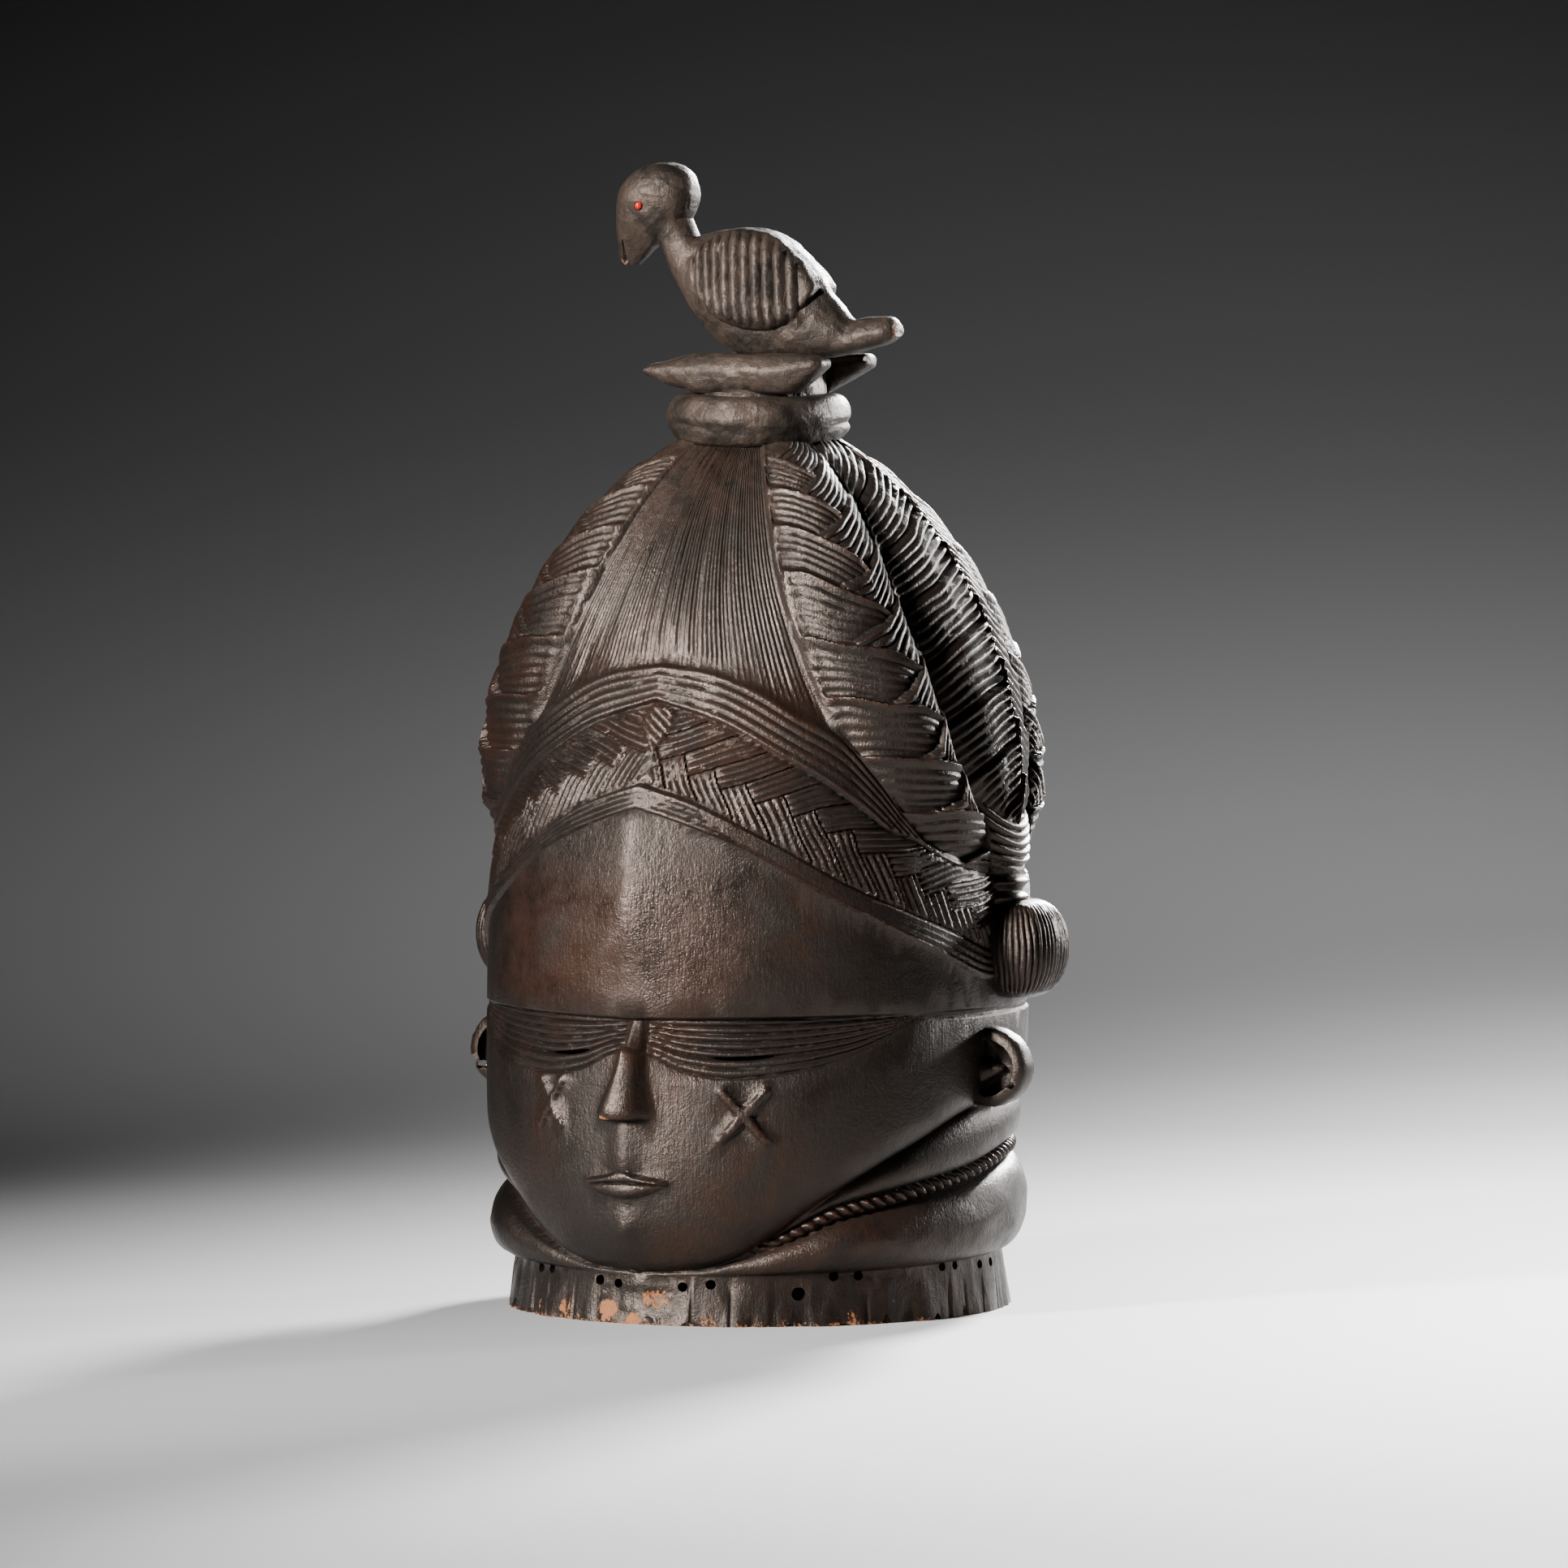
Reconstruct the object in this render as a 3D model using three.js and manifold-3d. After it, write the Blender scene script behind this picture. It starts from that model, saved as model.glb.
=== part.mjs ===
// Sande helmet mask: one hollow carved block of wood, with two red seed eyes set into the bird on top.
//
// The block is read from the ground up as a drilled rim, a fat neck ring, a twisted rope ring, a jaw
// fold, the face, a domed forehead, a plaited diadem between two grooved bands, a tall dome of plaited
// hair, a collar ring, two pointed bars and a bird that looks to the wearer's right.
// Millimetres, +Z up, the face looks along -Y. The origin is on the ground in the middle of the box that
// holds the mask, a little in front of the middle of the rim, because the nose stands out further than
// the back of the head.
// An azimuth is in degrees from the face, positive towards +X, which is the wearer's left.
import * as THREE from "three";
import { mergeVertices } from "three/addons/utils/BufferGeometryUtils.js";
import Module from "manifold-3d";

const wasm = await Module();
wasm.setup();

// Driving dimensions
const RIM_RADIUS = 98.5; // outside of the rim at the ground
const HAIR_RADIUS = 112; // widest crest of the plaited hair
const HAIR_WIDEST_Z = 207;
const HAIR_APEX_Z = 350; // where the hair's curve would close if the collar did not cut it
const HAIR_TOP_Z = 341;
const COLLAR_Z = 348.5;
const COLLAR_RADIUS = 36.5;
const BIRD_SEAT_Z = 373;
const SIDE_AXIS = 92.5; // azimuth of the hair ties, the side rolls and the hair's side crest
const CAVITY_TOP_Z = 232;
const RIM_MIDDLE_Y = 4.35; // from the origin to the middle of the rim

const SOOT = 0x2b211d;
const SEED_RED = 0x8e1a16;

// Small helpers
const rad = THREE.MathUtils.degToRad;
const lerp = THREE.MathUtils.lerp;
const clamp = THREE.MathUtils.clamp;
// An eased step from 0 at one place to 1 at another, whichever of the two is the greater
const smooth = (from, to, x) => {
  const t = clamp((x - from) / (to - from), 0, 1);
  return t * t * (3 - 2 * t);
};
const dome = (s) => Math.sqrt(Math.max(0, 1 - s * s)); // a half round over s from -1 to 1

// A smooth line through a few named places: through([[x, y], ...]) gives y for any x, flat past the ends.
function through(places) {
  const slopes = places.slice(1).map(([x, y], i) => (y - places[i][1]) / (x - places[i][0]));
  const tangents = places.map((_, i) => {
    const before = slopes[Math.max(i - 1, 0)];
    const after = slopes[Math.min(i, slopes.length - 1)];
    return before * after <= 0 ? 0 : (2 * before * after) / (before + after);
  });
  return (x) => {
    if (x <= places[0][0]) return places[0][1];
    const i = places.findIndex(([end], k) => k > 0 && x <= end) - 1;
    if (i < 0) return places[places.length - 1][1];
    const [[x0, y0], [x1, y1]] = [places[i], places[i + 1]];
    const width = x1 - x0;
    const t = (x - x0) / width;
    const rise = y0 * (1 + 2 * t) * (1 - t) ** 2 + y1 * t * t * (3 - 2 * t);
    return rise + width * t * (1 - t) * (tangents[i] * (1 - t) - tangents[i + 1] * t);
  };
}

const around = (azimuth, radius, z) =>
  new THREE.Vector3(radius * Math.sin(rad(azimuth)), -radius * Math.cos(rad(azimuth)), z);

// A closed skin over rings of points, with a point in the middle of the first and the last ring.
function skin(rings) {
  const count = rings[0].length;
  const middle = (ring) => ring.reduce((sum, p) => sum.add(p), new THREE.Vector3()).divideScalar(count);
  const points = [...rings.flat(), middle(rings[0]), middle(rings[rings.length - 1])];
  const faces = [];
  for (let row = 0; row < rings.length - 1; row += 1) {
    for (let i = 0; i < count; i += 1) {
      const next = (i + 1) % count;
      const [a, b] = [row * count + i, row * count + next];
      faces.push(a, b, b + count, a, b + count, a + count);
    }
  }
  const lastRing = (rings.length - 1) * count;
  for (let i = 0; i < count; i += 1) {
    const next = (i + 1) % count;
    faces.push(rings.length * count, next, i);
    faces.push(rings.length * count + 1, lastRing + i, lastRing + next);
  }
  const inward = enclosed(points, faces) < 0;
  const geometry = new THREE.BufferGeometry().setFromPoints(points);
  geometry.setIndex(inward ? faces.reverse() : faces);
  return geometry;
}

// The room inside a closed skin, which comes out negative when its faces look inwards.
function enclosed(points, faces) {
  let sum = 0;
  for (let i = 0; i < faces.length; i += 3) {
    const [a, b, c] = [points[faces[i]], points[faces[i + 1]], points[faces[i + 2]]];
    sum += a.dot(b.clone().cross(c)) / 6;
  }
  return sum;
}

// A three.js geometry as a solid that can be joined and cut.
function solid(geometry) {
  const bare = geometry.clone();
  bare.deleteAttribute("normal");
  bare.deleteAttribute("uv");
  const merged = mergeVertices(bare, 1e-4);
  const vertProperties = merged.attributes.position.array;
  const triVerts = new Uint32Array(merged.index.array);
  return new wasm.Manifold(new wasm.Mesh({ numProp: 3, vertProperties, triVerts }));
}

function geometryOf(body) {
  const mesh = body.getMesh();
  const geometry = new THREE.BufferGeometry();
  geometry.setAttribute("position", new THREE.BufferAttribute(mesh.vertProperties, 3));
  geometry.setIndex(new THREE.BufferAttribute(mesh.triVerts, 1));
  return geometry;
}

const joined = (solids) => solids.reduce((sum, next) => sum.add(next));

// The lines that the carver laid out on the block: height against the azimuth's size
const rimTop = through([[0, 19], [60, 21], [120, 23], [180, 23]]);
const ringTop = through([
  [0, 20], [12, 21], [33, 32], [45, 40.5], [60, 46], [80, 52], [104, 59], [180, 66],
]);
const ropeTop = through([
  [0, 20.6], [12, 22], [33, 37], [45, 46.5], [60, 52.5], [80, 58.5], [104, 66], [180, 73],
]);
const jaw = through([
  [0, 21.4], [12, 23.5], [20, 26], [30, 35], [37, 43.5], [47, 55], [60, 66.5], [87, 82], [180, 88],
]);
const lidLine = through([
  [0, 108], [5, 105], [12, 99], [21, 96.5], [37, 100], [46, 104], [55, 111], [64, 118], [180, 118],
]);
const browLine = through([[0, 119], [64, 120.5], [180, 120.5]]);
const hairline = through([
  [0, 200.5], [23, 186], [40, 168], [51, 157.5], [65, 145], [86, 132], [110, 137], [180, 138],
]);
const lowBandTop = through([
  [0, 209.5], [12, 203], [28, 189], [48, 169], [58, 161], [74, 150], [86, 143], [110, 147], [180, 148],
]);
const highBandFoot = through([
  [0, 241], [18, 232.5], [30, 222], [42, 210], [53, 196], [61, 183], [69, 173], [80, 166], [110, 159],
  [180, 158],
]);
const highBandTop = through([
  [0, 255], [13, 253], [25, 247], [36, 237], [46, 228], [54, 212], [61, 195], [67, 184], [76, 177],
  [84, 174], [110, 171], [180, 170],
]);

// The block's outside before the relief is cut: radius against height at the front, cheek, side and back
const frontRadius = through([
  [19, 99], [30, 108], [45, 111.5], [60, 112], [95, 109.5], [140, 109], [168, 107], [200, 101],
  [225, 91], [241, 84], [255, 78.5], [275, 60],
]);
const cheekRadius = through([
  [19, 98], [40, 104], [60, 107.5], [80, 108.5], [118, 108], [140, 107.5], [168, 105], [200, 99.5],
  [225, 93.5], [255, 82], [275, 64],
]);
const sideRadius = through([
  [19, 97], [60, 100], [80, 104], [100, 105.5], [130, 106], [160, 105], [190, 103], [215, 98], [255, 84],
  [275, 66],
]);
const backRadius = through([
  [19, 100], [60, 102], [88, 105], [110, 108.5], [140, 109], [170, 107], [200, 102], [255, 84],
  [275, 66],
]);
const CHEEK_AZIMUTH = 45;

function blockRadius(azimuth, z) {
  const size = Math.abs(azimuth);
  if (size < CHEEK_AZIMUTH) return lerp(frontRadius(z), cheekRadius(z), smooth(0, CHEEK_AZIMUTH, size));
  if (size < 90) return lerp(cheekRadius(z), sideRadius(z), smooth(CHEEK_AZIMUTH, 90, size));
  return lerp(sideRadius(z), backRadius(z), smooth(90, 180, size));
}

// Neck and rim: how far each ring is let in, and how far it swells out of there
const RIM_OVAL = 0.025; // how much longer the rim is from front to back, as a share
const RIM_TAPER = 3;
const NECK = { root: 96, swell: 9.5, fullHeight: 24 };
const ROPE_RADIUS = 97.5;
const JAW_FOLD = { root: 98.5, swell: 5, fullHeight: 14 };
const rimOval = (azimuth) => 1 + RIM_OVAL * Math.cos(rad(azimuth)) ** 2;
const rimRadius = (azimuth, share) => (RIM_RADIUS - RIM_TAPER * share) * rimOval(azimuth);
const swelling = (ring, height, share) =>
  ring.root + ring.swell * smooth(0, ring.fullHeight, height) * dome(2 * share - 1);

function neckRing(azimuth, share) {
  const size = Math.abs(azimuth);
  return swelling(NECK, ringTop(size) - rimTop(size), share) * rimOval(azimuth);
}

function jawFold(azimuth, share) {
  const size = Math.abs(azimuth);
  return swelling(JAW_FOLD, jaw(size) - ropeTop(size), share);
}

// Face, brow and forehead: a soft upright ridge runs down their middle
const KEEL = { halfWidth: 13, face: 2.5, eyes: 1, forehead: 4, bands: 2, plait: 1.5 };
const JAW_ROUNDING = { depth: 6.5, height: 13 };
const EYE_BAND = { depth: 2.6, browDepth: 3, runsOutFrom: 40, runsOutAt: 66 };
const BAND_PROUD = 2;
const keel = (azimuth, height) =>
  height * clamp(1 - Math.abs(azimuth) / KEEL.halfWidth, 0, 1) ** 1.4;

function faceRadius(azimuth, z) {
  const size = Math.abs(azimuth);
  const rise = clamp((z - jaw(size)) / JAW_ROUNDING.height, 0, 1);
  const rounding = JAW_ROUNDING.depth * (1 - dome(1 - rise)) * smooth(8, 32, size);
  return blockRadius(azimuth, z) + keel(azimuth, KEEL.face) - rounding;
}

// The grooved band across the eyes lies deepest under the brow and runs out at the temples.
function eyeBandRadius(azimuth, z, share) {
  const size = Math.abs(azimuth);
  const fade = smooth(EYE_BAND.runsOutAt, EYE_BAND.runsOutFrom, size);
  const depth = (EYE_BAND.depth + EYE_BAND.browDepth * share) * fade;
  return blockRadius(azimuth, z) + keel(azimuth, KEEL.eyes) - depth;
}

const foreheadRadius = (azimuth, z) => blockRadius(azimuth, z) + keel(azimuth, KEEL.forehead);
const bandRadius = (azimuth, z) => blockRadius(azimuth, z) + BAND_PROUD + keel(azimuth, KEEL.bands);

// The plaited field of the diadem: two rows of blocks that step like a herringbone
const PLAIT = { block: 9, root: 0.2, step: 1.6 }; // degrees, then millimetres
function plaitRadius(azimuth, z, share) {
  const blocks = Math.abs(azimuth) / PLAIT.block + (share > 0.5 ? 0.5 : 0);
  const proud = PLAIT.root + PLAIT.step * (blocks - Math.floor(blocks));
  return blockRadius(azimuth, z) + proud + keel(azimuth, KEEL.plait);
}

// Above the diadem the lower block draws in under the hair.
const CAP_TOP_Z = 275;
const CAP_DRAWS_IN = { foot: 4, top: 34 };
const capRadius = (azimuth, z, share) =>
  blockRadius(azimuth, z) - lerp(CAP_DRAWS_IN.foot, CAP_DRAWS_IN.top, share);

// The lower block: each zone lies between two lines and holds some rows of the skin.
const STEP_HEIGHT = 0.7;
const ZONES = [
  { top: rimTop, shares: [0, 1], radius: (azimuth, z, share) => rimRadius(azimuth, share) },
  { top: ringTop, shares: [0.08, 0.3, 0.7, 0.97], radius: (azimuth, z, share) => neckRing(azimuth, share) },
  { top: ropeTop, shares: [0.5], radius: () => ROPE_RADIUS },
  { top: jaw, shares: [0.15, 0.55, 0.92], radius: (azimuth, z, share) => jawFold(azimuth, share) },
  { top: lidLine, shares: [0.03, 0.12, 0.35, 0.68, 1], radius: faceRadius },
  { top: browLine, shares: [0.04, 0.5, 0.96], radius: eyeBandRadius },
  { top: hairline, shares: [0.03, 0.12, 0.35, 0.65, 0.98], radius: foreheadRadius },
  { top: lowBandTop, shares: [0.04, 0.95], radius: bandRadius },
  { top: highBandFoot, shares: [0.05, 0.48, 0.53, 0.95], radius: plaitRadius },
  { top: highBandTop, shares: [0.05, 0.97], radius: bandRadius },
  { top: () => CAP_TOP_Z, shares: [0.03, 1], radius: capRadius },
];
const HEAD_AZIMUTHS = [4, 9, 15, 22, 29, 37, 45, 53, 61, 70, 80, 92, 107, 126, 151];

function bothSides(azimuths) {
  return [...azimuths.map((a) => -a).reverse(), 0, ...azimuths, 180];
}

function lowerBlock() {
  const azimuths = bothSides(HEAD_AZIMUTHS);
  const rings = [];
  ZONES.forEach((zone, index) => {
    zone.shares.forEach((share) => {
      rings.push(
        azimuths.map((azimuth) => {
          const size = Math.abs(azimuth);
          const foot = index ? ZONES[index - 1].top(size) : 0;
          const z = lerp(foot, Math.max(zone.top(size), foot + STEP_HEIGHT), share);
          return around(azimuth, zone.radius(azimuth, z, share), z);
        }),
      );
    });
  });
  return solid(skin(rings));
}

// Hair: a smooth panel at the front and the back, and three plaited lobes on each side
const hairCrest = (z) => {
  if (z < HAIR_WIDEST_Z) return HAIR_RADIUS - 0.0055 * (HAIR_WIDEST_Z - z) ** 2;
  const rise = Math.min((z - HAIR_WIDEST_Z) / (HAIR_APEX_Z - HAIR_WIDEST_Z), 0.97);
  return HAIR_RADIUS * (1 - rise ** 1.8) ** (1 / 1.8);
};
const panelEdge = through([[200, 50], [234, 45.5], [256, 40.5], [293, 33.5], [333, 30]]);
const plaitParting = through([
  [178, 84], [190, 81], [203, 73], [228, 66], [250, 61], [276, 58], [292, 56], [330, 48.5],
]);
const valley = through([
  [178, 87], [190, 83.5], [221, 74], [237, 72], [256, 69.5], [284, 66.5], [321, 66.5],
]);

// A column of the hair keeps its place between these lines as they draw together towards the top.
const HAIR_LINES = [() => 0, panelEdge, plaitParting, valley, () => SIDE_AXIS];
const HAIR_FOOT_Z = 161;
const BUNDLES = [339, 321, 300, 277, 253, 229, 206, 183, HAIR_FOOT_Z]; // upper edges of the bundles
const BUNDLE_STEP = 2.2;
const HAIR_ROOT = 9; // how deep the hair's foot is let into the block
const PANEL_CREST = 0.787; // the middle of the front panel against the widest crest
const BACK_FULLNESS = 0.03; // how much fuller the same panel is at the back
// column: place between two lines, share of the crest radius, and how far its rows are drawn down or up
const HAIR_COLUMNS = [
  { line: 0.5, crest: 0.792, shift: 0 },
  { line: 0.97, crest: 0.815, shift: 0 },
  { line: 1.04, crest: 0.87, shift: 0 },
  { line: 1.5, crest: 0.95, shift: -5 },
  { line: 1.95, crest: 1, shift: -9 },
  { line: 2.5, crest: 0.995, shift: 6 },
  { line: 3, crest: 0.935, shift: 16 },
  { line: 3.15, crest: 0.965, shift: 0 },
  { line: 3.6, crest: 1, shift: 14 },
  { line: 4, crest: 1.01, shift: 26 },
];

// Behind the side axis the hair repeats its front the other way round, so a line from 4 to 8 lies there.
function hairAzimuth(line, z) {
  const place = Math.min(line, 8 - line);
  const index = Math.min(Math.floor(place), HAIR_LINES.length - 2);
  const azimuth = lerp(HAIR_LINES[index](z), HAIR_LINES[index + 1](z), place - index);
  return line > 4 ? 180 - (azimuth * (180 - SIDE_AXIS)) / SIDE_AXIS : azimuth;
}

function hairPoint(side, column, z, low) {
  const azimuth = hairAzimuth(column.line, z);
  const foot = highBandTop(azimuth);
  const fade = smooth(foot - 3, foot + 9, z);
  const onLobe = column.line > 1 && column.line < 7;
  const step = onLobe && low ? BUNDLE_STEP : 0;
  const full = hairCrest(z) * column.crest - step;
  return around(side * azimuth, lerp(blockRadius(azimuth, z) - HAIR_ROOT, full, fade), z);
}

function hairBlock() {
  const fuller = ({ line, crest, shift }) => {
    return { line: 8 - line, crest: crest + BACK_FULLNESS * (1 - line / 4), shift };
  };
  const half = [...HAIR_COLUMNS, ...HAIR_COLUMNS.slice(0, -1).reverse().map(fuller)];
  const middleFront = { line: 0, crest: PANEL_CREST, shift: 0 };
  const middleBack = fuller(middleFront);
  const rings = [];
  const ringAt = (edge, low) => {
    const draw = smooth(HAIR_TOP_Z, HAIR_TOP_Z - 45, edge) * smooth(HAIR_FOOT_Z, HAIR_FOOT_Z + 40, edge);
    const level = edge - (low ? 0 : STEP_HEIGHT);
    const at = (side, column) => hairPoint(side, column, level + column.shift * draw, low);
    rings.push([
      ...half.map((column) => at(-1, column)).reverse(),
      at(1, middleFront),
      ...half.map((column) => at(1, column)),
      at(1, middleBack),
    ]);
  };
  [...BUNDLES].reverse().forEach((edge, index) => {
    if (index) ringAt(edge, false);
    ringAt(edge, true);
  });
  return solid(skin(rings));
}

// A ring of points on a fat oval around a middle; along and up say how far it reaches each way.
function oval(middle, along, up, count, power = 2) {
  return Array.from({ length: count }, (_, i) => {
    const turn = (2 * Math.PI * i) / count;
    const reach = (value) => Math.sign(value) * Math.abs(value) ** (2 / power);
    return middle
      .clone()
      .addScaledVector(along, reach(Math.cos(turn)))
      .addScaledVector(up, reach(Math.sin(turn)));
  });
}

// A prism of a flat outline, cut square at both ends, placed by a matrix.
function prism(outline, depth, matrix) {
  const geometry = new THREE.ExtrudeGeometry(outline, { depth, bevelEnabled: false, curveSegments: 10 });
  return solid(geometry.applyMatrix4(matrix));
}

// A frame on the block's skin: x runs round towards the wearer's left, y runs up and z runs outwards.
function onSkin(azimuth, radius, z, turn = 0) {
  const place = new THREE.Matrix4().makeRotationZ(rad(azimuth));
  place.multiply(new THREE.Matrix4().makeTranslation(0, -radius, z));
  place.multiply(new THREE.Matrix4().makeRotationX(Math.PI / 2));
  return place.multiply(new THREE.Matrix4().makeRotationZ(rad(turn)));
}

const polygon = (radius, sides) =>
  new THREE.Shape(
    Array.from({ length: sides }, (_, i) => {
      const turn = (2 * Math.PI * i) / sides;
      return new THREE.Vector2(radius * Math.cos(turn), radius * Math.sin(turn));
    }),
  );

// A ridge on the middle of the face. Each station is height, middle, half width and how far it stands out.
const RIDGE_SECTION = [[-1, -0.2], [-0.8, 0.45], [-0.35, 0.95], [0.35, 0.95], [0.8, 0.45], [1, -0.2]];
const RIDGE_ROOT = 6; // how deep a ridge is let into the face
function ridge(stations) {
  const rings = stations.map(([z, x, halfWidth, proud]) => {
    const skinRadius = faceRadius(0, z);
    const at = (across, y) => new THREE.Vector3(x + across * halfWidth, y, z);
    const section = RIDGE_SECTION.map(([across, out]) => at(across, -skinRadius - out * proud));
    return [at(-1, RIDGE_ROOT - skinRadius), ...section, at(1, RIDGE_ROOT - skinRadius)];
  });
  return solid(skin(rings));
}
const NOSE = [
  [80.4, -0.8, 8.4, 4.6], [82.6, -0.8, 9, 7.2], [88, -0.2, 8.2, 7.4], [96, 0.8, 5.8, 5.6],
  [107, 2.2, 4, 3.2], [119, 3.4, 3.4, 0.6],
];
const PHILTRUM = [[60, -1.2, 4.2, 1.4], [79, -0.8, 3.4, 1.8]];
const UPPER_LIP = [[55.8, 0, 17.5, 0.6], [56.6, 0, 16.5, 2.4], [59.4, -0.6, 11, 2.6], [61.4, -1, 6, 1]];
const LOWER_LIP = [
  [49.6, -1.5, 8, 0.8], [51, -1.5, 11.5, 2.4], [53.6, -0.5, 15, 2.2], [54.6, 0, 16.5, 0.6],
];
const CHIN_BUMP = [[31, -1, 3.5, 0.5], [34, -1, 6, 2.2], [40, -1, 6, 2.4], [44, -1, 3.5, 0.5]];

// Crossed scars: four shallow pits leave an X standing between them.
const SCARS = [
  { azimuth: -20, z: 85.5, reach: 9.5 },
  { azimuth: 24, z: 82.5, reach: 11 },
];
const SCAR_BAR = 2; // half the width of one bar of the X
const SCAR_DEPTH = 1.8;

function scarPits({ azimuth, z, reach }) {
  const pit = new THREE.Shape();
  pit.moveTo(0, SCAR_BAR * Math.SQRT2);
  pit.lineTo(reach - SCAR_BAR * Math.SQRT2, reach);
  pit.lineTo(SCAR_BAR * Math.SQRT2 - reach, reach);
  const radius = faceRadius(azimuth, z) - SCAR_DEPTH;
  return [0, 90, 180, 270].map((turn) => prism(pit, 9, onSkin(azimuth, radius, z, turn)));
}

// Slits for the eyes go right through the wall.
const EYES = [
  { azimuth: -16.5, z: 105.5, half: 11 },
  { azimuth: 24, z: 104.2, half: 12.5 },
];

function eyeSlit({ azimuth, z, half }) {
  const slit = new THREE.Shape();
  slit.moveTo(-half, 0);
  slit.quadraticCurveTo(0, -3.2, half, 0);
  slit.quadraticCurveTo(0, 2.4, -half, 0);
  return prism(slit, 50, onSkin(azimuth, 75, z));
}

// Ears: a half disc each, with a hollow round a pointed flap, and one drilled hole
const EAR = { x: 106, y: -3, z: 97.5, reach: 17, halfHeight: 15.5, depth: 12, hollow: 4.5, rim: 4.7 };
function ear(side) {
  const outline = new THREE.Shape();
  outline.moveTo(-12, -EAR.halfHeight * 0.9);
  outline.absellipse(0, 0, EAR.reach, EAR.halfHeight, -Math.PI / 2, Math.PI / 2, false);
  outline.lineTo(-12, EAR.halfHeight * 0.9);
  const hollow = new THREE.Shape();
  const reach = EAR.reach - EAR.rim;
  hollow.absellipse(0, 0, reach, EAR.halfHeight - EAR.rim, -Math.PI / 2, Math.PI / 2, false);
  hollow.lineTo(-1, 5);
  hollow.lineTo(8, -1);
  hollow.lineTo(-1, -6);
  const place = new THREE.Matrix4().makeTranslation(EAR.x, EAR.y, EAR.z);
  place.multiply(new THREE.Matrix4().makeRotationX(Math.PI / 2));
  const front = place.clone().multiply(new THREE.Matrix4().makeTranslation(0, 0, EAR.depth - EAR.hollow));
  const hole = place.clone().multiply(new THREE.Matrix4().makeTranslation(11.5, -6.5, -5));
  const made = prism(outline, EAR.depth, place)
    .subtract(prism(hollow, 20, front))
    .subtract(prism(polygon(1.6, 6), 30, hole));
  return side > 0 ? made : made.mirror([1, 0, 0]);
}

// Side rolls of hair: short bolsters with upright grooves
const ROLL = { x: 107, y: 9, z: 143, reach: 20.5, halfDepth: 19.5, halfHeight: 19, grooves: 6 };
function sideRoll(side) {
  const stations = ROLL.grooves * 2;
  const rings = Array.from({ length: stations + 1 }, (_, i) => {
    const place = (2 * i) / stations - 1;
    const size = dome(0.96 * place) ** 0.7 - (i % 2 ? 0 : 0.055);
    const middle = new THREE.Vector3(ROLL.x, ROLL.y + place * ROLL.halfDepth, ROLL.z);
    const along = new THREE.Vector3(0, 0, ROLL.halfHeight * size);
    return oval(middle, along, new THREE.Vector3(ROLL.reach * size, 0, 0), 8, 3.4);
  });
  const made = solid(skin(rings));
  return side > 0 ? made : made.mirror([1, 0, 0]);
}

// A tied bunch of hair over each roll
// Each station is height, half width and how far it stands out.
const TIE_X = 104;
const TIE_Y = 6;
const TIE = [
  [160, 9, 9], [163, 13, 11], [166, 9.5, 9], [169, 13.5, 11], [172, 10, 10], [178, 16, 12], [190, 17, 11],
  [199, 12, 4],
];
function hairTie(side) {
  const rings = TIE.map(([z, halfWidth, proud]) => {
    const middle = new THREE.Vector3(TIE_X, TIE_Y, z);
    return oval(middle, new THREE.Vector3(0, halfWidth, 0), new THREE.Vector3(proud, 0, 0), 10);
  });
  const made = solid(skin(rings));
  return side > 0 ? made : made.mirror([1, 0, 0]);
}

// The knot block in the middle of the plait
const KNOT = { azimuth: 1.5, z: 233, radius: 7, proud: 3.6, root: 8 };
function knot() {
  const seat = blockRadius(KNOT.azimuth, KNOT.z) - KNOT.root;
  return prism(polygon(KNOT.radius, 8), KNOT.root + KNOT.proud, onSkin(KNOT.azimuth, seat, KNOT.z));
}

// Crown: a thick ring, a rough core and two boat-shaped bars with blunt tips
const COLLAR_BULGE = 9;
const COLLAR_HALF_HEIGHT = 10;
const CORE = { radius: 27, top: BIRD_SEAT_Z, height: 40 };
const BAR = { halfHeight: 8, halfThick: 8, y: 20.8 };
// Each station of a bar is x, its share of the full size, and the height of its middle.
const FRONT_BAR = [
  [-39, 0.2, 368], [-34, 0.42, 367.6], [-17, 1, 367], [27, 1, 367], [35, 0.6, 369.5], [40.5, 0.2, 371.2],
];
const BACK_BAR = [[-39, 0.25, 369], [-20, 1, 367], [20, 1, 367], [39.5, 0.34, 371.8]];

function collar() {
  const bulge = Array.from({ length: 5 }, (_, i) => {
    const turn = (Math.PI * (i - 2)) / 4;
    const radius = COLLAR_RADIUS - COLLAR_BULGE * (1 - Math.cos(turn));
    return new THREE.Vector2(radius, COLLAR_HALF_HEIGHT * Math.sin(turn));
  });
  const foot = new THREE.Vector2(0, -COLLAR_HALF_HEIGHT);
  const profile = [foot, ...bulge, new THREE.Vector2(0, COLLAR_HALF_HEIGHT)];
  const ring = new THREE.LatheGeometry(profile, 20);
  return solid(ring.rotateX(Math.PI / 2).translate(0, 0, COLLAR_Z));
}

function core() {
  const pillar = new THREE.CylinderGeometry(CORE.radius, CORE.radius, CORE.height, 14);
  return solid(pillar.rotateX(Math.PI / 2).translate(0, 0, CORE.top - CORE.height / 2));
}

function bar(stations, y) {
  const rings = stations.map(([x, size, z]) => {
    const middle = new THREE.Vector3(x, y, z);
    const across = new THREE.Vector3(0, BAR.halfThick * (0.55 + 0.45 * size), 0);
    return oval(middle, across, new THREE.Vector3(0, 0, BAR.halfHeight * size), 8, 3.2);
  });
  return solid(skin(rings));
}

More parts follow.
